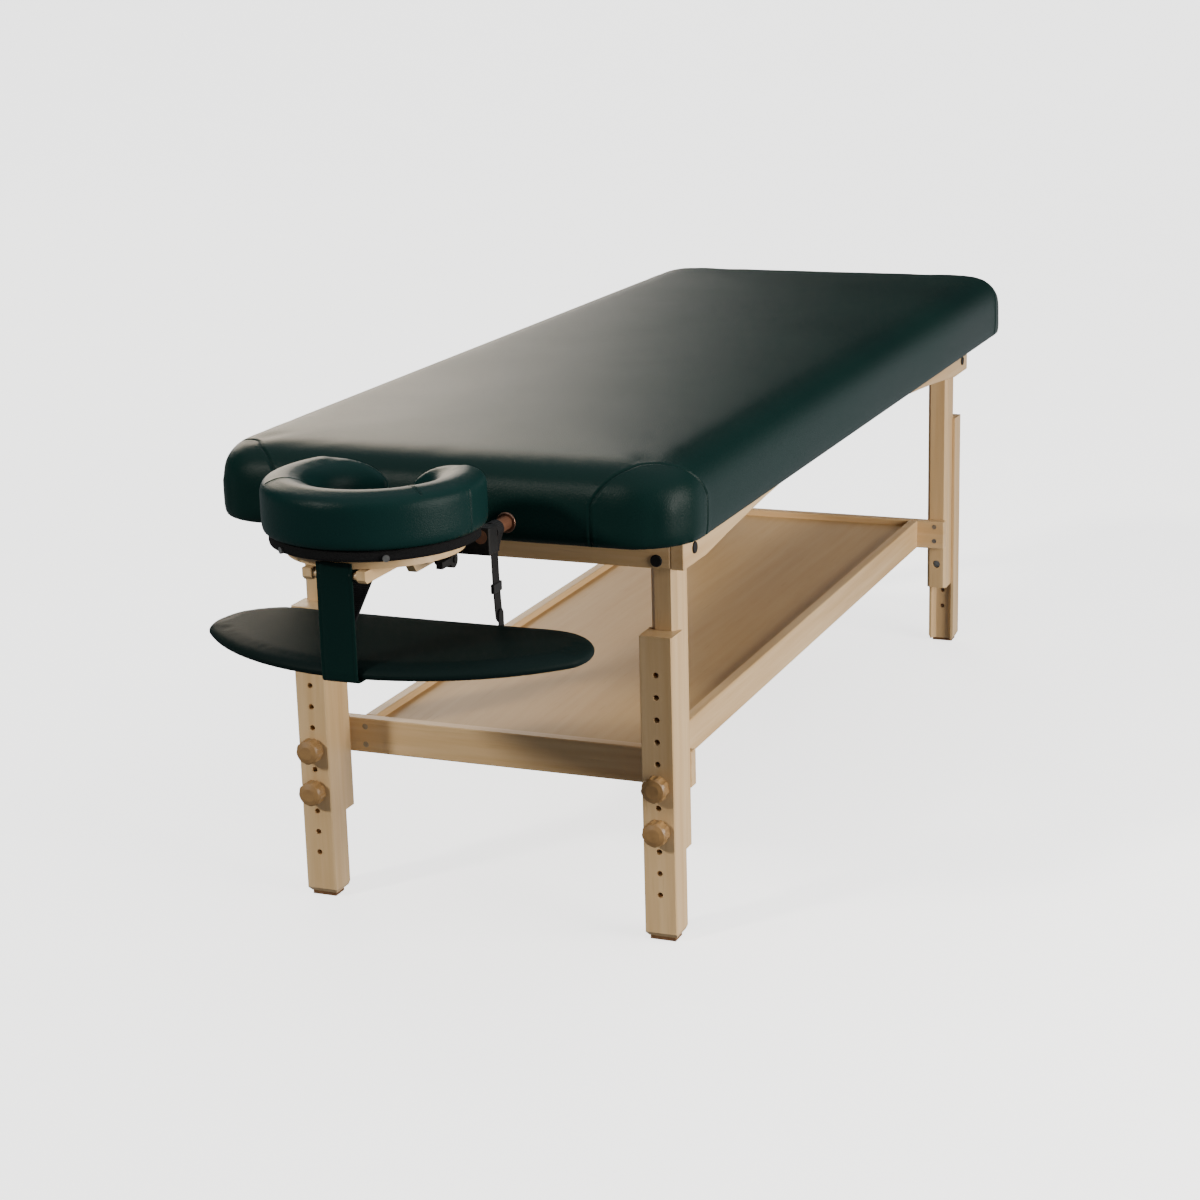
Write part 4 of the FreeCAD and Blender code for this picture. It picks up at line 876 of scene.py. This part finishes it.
def sling_outline(steps=16):
    """Plan of the sling: straight edge, round right end, front curve, and the same mirrored."""
    turn = sling_back - SLING_TURN
    bulge = SLING_HALF + (SLING_HALF - SLING_STRAIGHT) * 0.02
    knee = (SLING_HALF, turn)
    half = [(SLING_STRAIGHT * step / 8, sling_back) for step in range(8)]
    half += arc_through((SLING_STRAIGHT, sling_back), (bulge, sling_back - SLING_TURN * 0.46), knee, steps)
    deep = turn - sling_front
    radius = (SLING_HALF ** 2 + deep ** 2) / (2 * deep)
    quarter = sling_front + radius - math.sqrt(radius ** 2 - SLING_HALF ** 2 / 4)
    half += arc_through(knee, (SLING_HALF / 2, quarter), (0.0, sling_front), 2 * steps)
    half.append((0.0, sling_front))
    return half + [(-across, along) for across, along in reversed(half[1:-1])]


def sling_loop(inset, height):
    """The plan drawn in evenly, square to its own edge."""
    plan = sling_outline()
    loop = []
    for index, spot in enumerate(plan):
        before = plan[index - 1]
        after = plan[(index + 1) % len(plan)]
        run = Vector((after[0] - before[0], after[1] - before[1])).normalized()
        loop.append(Vector((spot[0] + run.y * inset, spot[1] - run.x * inset, height)))
    return loop


# %% Sling pad: form and stuffing
sling_thick = sling_high.z - sling_low.z
loops = [sling_loop(CORE_INSET, core_high.z + HOLLOW_GAP), sling_loop(CORE_INSET, sling_low.z + SLING_LIFT)]
for share, inset in SLING_ROWS:
    height = sling_low.z + SLING_LIFT + share * (sling_thick - SLING_SINK)
    loops.append(sling_loop(SLING_SPARE + inset * sling_thick, height))
sling_pad = skin("sling_cover", loops)


def sling_resting(spots):
    """Held points: everything round the plywood."""
    return spots[:, 2] < core_high.z + SLING_HELD


stuff(sling_pad, cell=0.003, pressure=2.0, limit=0.0012, resting=sling_resting, calm=8)
sling_pad.data.materials.append(sling_vinyl_painted_shade)
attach(sling_pad, "sling")
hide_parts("sling_pad")
print("sling %.0f mm wide, %.0f mm thick" % (2000 * SLING_HALF, 1000 * sling_thick))

# %% [markdown]
# ## Straps
#
# A strap is a flat ribbon with soft edges swept along a line. The front strap crosses two joints: it hangs
# from the face rest's arms, swings, and holds the sling. So it is made in two parts that meet in the middle
# of its own swinging stretch. A black stay runs from a second dowel down to the strap.

# %% Ribbons
SECTION = (-0.985, -0.93, -0.86, -0.82, -0.78, -0.5, 0, 0.5, 0.78, 0.82, 0.86, 0.93, 0.985)
STITCH = 0.82


def smooth_line(spots, steps):
    """Rounds a chain of points with a Catmull-Rom curve."""
    spots = [Vector(spot) for spot in spots]
    ends = [spots[0] * 2 - spots[1]] + spots + [spots[-1] * 2 - spots[-2]]
    line = []
    for a, b, c, d in zip(ends, ends[1:], ends[2:], ends[3:]):
        for step in range(steps):
            t = step / steps
            line.append(0.5 * ((2 * b) + (c - a) * t + (2 * a - 5 * b + 4 * c - d) * t * t
                               + (3 * b - a - 3 * c + d) * t ** 3))
    line.append(spots[-1])
    return line


def ribbon(name, line, wide_way, width, thick, hem=0.0, taper=None):
    """Sweeps a flat section with rounded edges; `wide_way` is the direction of its width, `hem` the depth of
    the sewn line beside each edge, and `taper` the share of the width at each point."""
    wide_way = Vector(wide_way).normalized()
    section = []
    half = width / 2
    for face, order in ((1, SECTION), (-1, SECTION[::-1])):
        for share in order:
            puff = thick / 2 * (0.6 if abs(share) > 0.95 else 1.0)
            puff -= hem if abs(share) == STITCH else 0.0
            section.append((share * half, face * puff))
        section.append((face * half, 0.0))
    loops = []
    count = len(line)
    for index, spot in enumerate(line):
        before = line[index - 1] if index else spot
        after = line[index + 1] if index + 1 < count else spot
        run = (after - before).normalized()
        out = wide_way.cross(run).normalized()
        share = taper[index] if taper else 1.0
        loops.append([spot + wide_way * across * share + out * up for across, up in section])
    form = bmesh.new()
    rings = wall(form, loops)
    for ring in (list(reversed(rings[0])), rings[-1]):
        for edge in form.faces.new(ring).edges:
            edge.smooth = False
    bmesh.ops.recalc_face_normals(form, faces=form.faces)
    piece = placed(name, form)
    smooth_quads(piece)
    return piece


# %% Front strap
strap_low, strap_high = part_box("front_strap")
dowel_low, dowel_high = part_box("sling_dowels")
STRAP_WIDTH = strap_high.x - strap_low.x
STRAP_THICK = strap_high.y - strap_low.y
strap_y = (strap_low.y + strap_high.y) / 2
joint_at = {joint["name"]: joint.get("pos_m") for joint in frame["joints"]}
upper_pivot = Vector((0, strap_y, joint_at["sling_swing"][2]))
lower_pivot = Vector((0, strap_y, joint_at["sling_level"][2]))
half_way = (upper_pivot.z + lower_pivot.z) / 2
dowel_z = (dowel_low.z + dowel_high.z) / 2
DOWEL = (dowel_high.z - dowel_low.z) / 2
front_dowel = Vector((0, dowel_low.y + DOWEL, dowel_z))
rear_dowel = Vector((0, dowel_high.y - DOWEL, dowel_z))
WRAP_GAP = 0.0002
WRAP = DOWEL + WRAP_GAP + STRAP_THICK / 2
LOOP_START = 172
LOOP_TURN = 340
HEM = 0.0007
ACROSS = (1, 0, 0)


def round_dowel(dowel, degrees):
    """Place on the strap's middle line where it goes round a dowel."""
    angle = math.radians(degrees)
    return dowel + Vector((0, WRAP * math.cos(angle), WRAP * math.sin(angle)))


strap_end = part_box("face_platform")[1].z - 0.001
line = []
for step in range(25):
    line.append(Vector((0, strap_y, strap_end + (half_way - strap_end) * step / 24)))
strap_top = ribbon("front_strap_upper", line, ACROSS, STRAP_WIDTH, STRAP_THICK, HEM)
strap_top.data.materials.append(green_vinyl)
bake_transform(strap_top)
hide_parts("front_strap")
line = [round_dowel(front_dowel, LOOP_START - LOOP_TURN * step / 22) for step in range(23)]
strap_loop = ribbon("front_strap_loop", line, ACROSS, STRAP_WIDTH, STRAP_THICK)
strap_loop.data.materials.append(green_vinyl)
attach(strap_loop, "cradle")

line = [Vector((0, strap_y, half_way + (lower_pivot.z - half_way) * step / 10)) for step in range(10)]
board_edge = [(0, strap_y, lower_pivot.z - 0.001), (0, strap_y + 0.0002, sling_low.z + 0.006),
              (0, strap_y + 0.004, sling_low.z - 0.0022), (0, strap_y + 0.030, sling_low.z - 0.0026),
              (0, strap_y + 0.070, sling_low.z - 0.0026)]
line += smooth_line(board_edge, 5)
strap_foot = ribbon("front_strap_lower", line, ACROSS, STRAP_WIDTH, STRAP_THICK, HEM)
strap_foot.data.materials.append(green_vinyl)
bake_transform(strap_foot)
print("front strap %.0f mm long" % (1000 * (dowel_z - sling_low.z)))

# %% Black stay behind the strap
STAY_THICK = STRAP_THICK * 0.8
stay_end = Vector((0, strap_y + 0.0026, upper_pivot.z - 0.032))
line = [round_dowel(rear_dowel, degrees) for degrees in range(60, -91, -15)]
stay_start = line[-1]
for step in range(1, 11):
    line.append(stay_start.lerp(stay_end, step / 10))
stay = ribbon("strap_stay", line, ACROSS, STRAP_WIDTH, STAY_THICK)
stay.data.materials.append(black_webbing)
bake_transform(stay)
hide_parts("strap_hanger")
print("stay drops %.0f mm" % (1000 * (dowel_z - stay_end.z)))

# %% [markdown]
# ## Rear straps
#
# Two black webbing straps hang from the rods and carry the back of the sling. Each has a loop round its rod,
# a hanging stretch and a small plastic slider. A tab that is sewn to the sling meets each strap at the height
# where the strap turns on it.

# %% Rear straps, loops and sliders
loop_low, loop_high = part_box("strap_loops")
SLANT = 0.004
TAB_WIDTH = 0.016
TAB_FOOT = sling_low.z + 0.012
PINCH = ((-0.0026, -0.030), (-0.0034, -0.022))
ROD_LOOP_START = 215
ROD_LOOP_TURN = 250
SLIDER_THICK = 0.0052
SLIDER_TALL = 0.013
SLIDER_SPARE = 0.006
SLIDER_EDGE = 0.0012
SLIDER_PLACE = 0.42
SLIDER_SLANT = 0.34
ALONG = (0, 1, 0)


def round_share(past, radius):
    """Share of a strap's width at a distance past the middle of its round end."""
    return math.sqrt(max(1 - (max(past, 0) / radius) ** 2, 0.1))


for side, word in ((-1, "left"), (1, "right")):
    low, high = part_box("rear_strap_" + word)
    x = (low.x + high.x) / 2
    y = (low.y + high.y) / 2
    width = high.y - low.y
    thick = high.x - low.x
    tail = low.z + width / 2
    line = []
    taper = []
    for step in range(33):
        height = high.z - 0.001 - (high.z - low.z - 0.0012) * step / 32
        line.append(Vector((x + side * SLANT * (step / 32) ** 2, y, height)))
        taper.append(round_share(tail - height, width / 2))
    strap = ribbon("rear_strap_web_" + word, line, ALONG, width, thick, 0.0, taper)
    strap.data.materials.append(black_webbing)
    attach(strap, "rear_strap_" + word)
    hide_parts("rear_strap_" + word)
    pivot_z = joint_at["rear_swing_" + word][2] - (upper_pivot.z - lower_pivot.z)
    tab_x = x + side * (SLANT + thick)
    line = []
    taper = []
    for step in range(17):
        height = TAB_FOOT + (pivot_z + TAB_WIDTH / 2 - TAB_FOOT) * step / 16
        line.append(Vector((tab_x, y, height)))
        taper.append(round_share(height - pivot_z, TAB_WIDTH / 2))
    tab = ribbon("sling_tab_" + word, line, ALONG, TAB_WIDTH, thick * 0.8, 0.0, taper)
    tab.data.materials.append(black_webbing)
    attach(tab, "sling")
    rod = Vector((x, y, rod_height))
    round_rod = (loop_high.z - loop_low.z) / 2 - thick / 2
    pinch = [rod + Vector((across, 0, down)) for across, down in PINCH]
    line = list(pinch)
    for step in range(25):
        angle = math.radians(ROD_LOOP_START - ROD_LOOP_TURN * step / 24)
        line.append(rod + Vector((round_rod * math.cos(angle), 0, round_rod * math.sin(angle))))
    line += [Vector((2 * x - spot.x, spot.y, spot.z)) for spot in reversed(pinch)]
    loop = ribbon("rod_loop_" + word, smooth_line(line, 2), ALONG, width, thick * 0.8)
    loop.data.materials.append(black_webbing)
    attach(loop, "cradle")
    middle_z = low.z + (high.z - low.z) * SLIDER_PLACE
    slider_x = x + side * SLANT * SLIDER_SLANT
    form = bmesh.new()
    block = bmesh.ops.create_cube(form, size=1.0)["verts"]
    bmesh.ops.scale(form, vec=(SLIDER_THICK, width + SLIDER_SPARE, SLIDER_TALL), verts=block)
    bmesh.ops.bevel(form, geom=form.edges[:], offset=SLIDER_EDGE, segments=3, profile=0.6, affect="EDGES")
    bmesh.ops.translate(form, vec=(slider_x, y, middle_z), verts=form.verts)
    slider = placed("strap_slider_" + word, form)
    slider.data.materials.append(plastic)
    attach(slider, "rear_strap_" + word)
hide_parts("strap_loops")

# %% [markdown]
# ## Floor and light
#
# The floor is plain and pale, turns up far away into a round backdrop, and glows a little by itself, as a
# lit studio sweep does. It is hidden from the table's own rays, so that it stays bright without flooding the
# table from below; the lower half of the world gives a gentle bounce instead. The key light is low and comes
# from the front left: the overhanging top shades the end rail, and the sling throws its shade on the shelf.
# A soft box on the right lifts the side rails and the right faces of the legs. The world is bright overhead
# and dark near the horizon, with one warm window low behind the left side. The top of the pad mirrors that
# window at a flat angle, which gives its sheen. Its right side mirrors a paler patch of floor behind.

# %% Floor
FLOOR_GLOW = 2.1
floor_finish = matt("pale floor", paint(232, 232, 231), paint(237, 237, 236), 3.0, 0.75, 0.00002)
FLAT_REACH = 9.0
SWEEP = 6.0
WALL_TOP = 26.0
ROUND_STEPS = 96
profile = [(FLAT_REACH - SWEEP / 3, 0.0)]
for turn in range(0, 91, 5):
    angle = math.radians(turn)
    profile.append((FLAT_REACH + SWEEP * math.sin(angle), SWEEP - SWEEP * math.cos(angle)))
profile.append((FLAT_REACH + SWEEP, WALL_TOP))
turns = [2 * math.pi * step / ROUND_STEPS for step in range(ROUND_STEPS)]
loops = []
for reach, height in profile:
    loops.append([(reach * math.cos(turn), reach * math.sin(turn), height) for turn in turns])
form = bmesh.new()
rings = wall(form, loops)
form.faces.new(rings[0])
floor = placed("floor", form)
smooth_quads(floor)
floor.location.z = -0.0005
floor.data.materials.append(floor_finish)
floor_shader = floor_finish.node_tree.nodes["Principled BSDF"]
floor_shader.inputs["Emission Color"].default_value = (1.0, 1.0, 1.0, 1.0)
floor_shader.inputs["Emission Strength"].default_value = FLOOR_GLOW
floor.visible_diffuse = False
floor.visible_glossy = False
floor.visible_shadow = False
print("floor rings:", len(rings))

# %% Lights
def aim(thing, target):
    thing.rotation_mode = "QUATERNION"
    thing.rotation_quaternion = (Vector(target) - thing.location).to_track_quat("-Z", "Y")


sun = bpy.data.lights.new("sun", "SUN")
sun.energy = 2.2
sun.angle = math.radians(7)
sun.color = (1.0, 0.95, 0.86)
sun_object = bpy.data.objects.new("sun", sun)
sun_object.location = (-2.04, -2.8, 1.96)
bpy.context.scene.collection.objects.link(sun_object)
aim(sun_object, (0, 0, 0))

box_light = bpy.data.lights.new("right box", "AREA")
box_light.shape = "RECTANGLE"
box_light.size = 2.4
box_light.size_y = 1.6
box_light.energy = 190
box_light.color = (1.0, 0.95, 0.88)
box_object = bpy.data.objects.new("right box", box_light)
box_object.location = (3.4, -0.7, 1.0)
bpy.context.scene.collection.objects.link(box_object)
aim(box_object, (0.2, -0.1, 0.4))
box_object.visible_camera = False
print("lights:", len(bpy.data.lights))


# %% Sky
class Sky(Finish):
    """The same node building, around the world's background."""

    def __init__(self, name):
        self.world = bpy.data.worlds.new(name)
        self.world.use_nodes = True
        self.nodes = self.world.node_tree.nodes
        self.links = self.world.node_tree.links
        self.shader = self.nodes["Background"]


WINDOW_LEFT = math.radians(37)
WINDOW_UP = math.radians(14)
WINDOW = Vector((-math.sin(WINDOW_LEFT), math.cos(WINDOW_LEFT), math.tan(WINDOW_UP))).normalized()
FLOOR_SHEEN = Vector((0.36, 0.89, -0.27)).normalized()
WINDOW_GLOW = 6.4
SHEEN_GLOW = 0.45
BOUNCE_GLOW = 0.22
COOL_SKY = (0.92, 0.96, 1.0, 1.0)
WARM_WINDOW = (1.0, 0.86, 0.68, 1.0)

sky = Sky("studio")
look = sky.node("ShaderNodeTexCoord", out="Generated")
rise = sky.node("ShaderNodeSeparateXYZ", {}, {0: look}, out="Z")


def soft_step(value, low, high, dark=0.0, bright=1.0):
    """A smooth change from dark to bright while the value goes from low to high."""
    return sky.node("ShaderNodeMapRange", {"interpolation_type": "SMOOTHSTEP"},
                    {"Value": value, "From Min": low, "From Max": high, "To Min": dark, "To Max": bright})


def patch(direction, edge, core):
    """A soft round patch of the sky; edge and core are its outer and inner angles in degrees."""
    facing = sky.node("ShaderNodeVectorMath", {"operation": "DOT_PRODUCT"},
                      {0: look, 1: direction}, out="Value")
    return soft_step(facing, math.cos(math.radians(edge)), math.cos(math.radians(core)))


glow = patch(WINDOW, 18, 7)
sheen = patch(FLOOR_SHEEN, 34, 12)
dome = soft_step(rise, 0.4, 0.9, 0.02, 1.15)
bounce = sky.ramp(rise, 0.02, -0.06)
sky.feed(sky.shader.inputs["Color"], sky.mix(glow, COOL_SKY, WARM_WINDOW))
strength = dome + glow * WINDOW_GLOW + bounce * BOUNCE_GLOW + sheen * SHEEN_GLOW
sky.feed(sky.shader.inputs["Strength"], strength)
bpy.context.scene.world = sky.world
print("sky nodes:", len(sky.nodes))
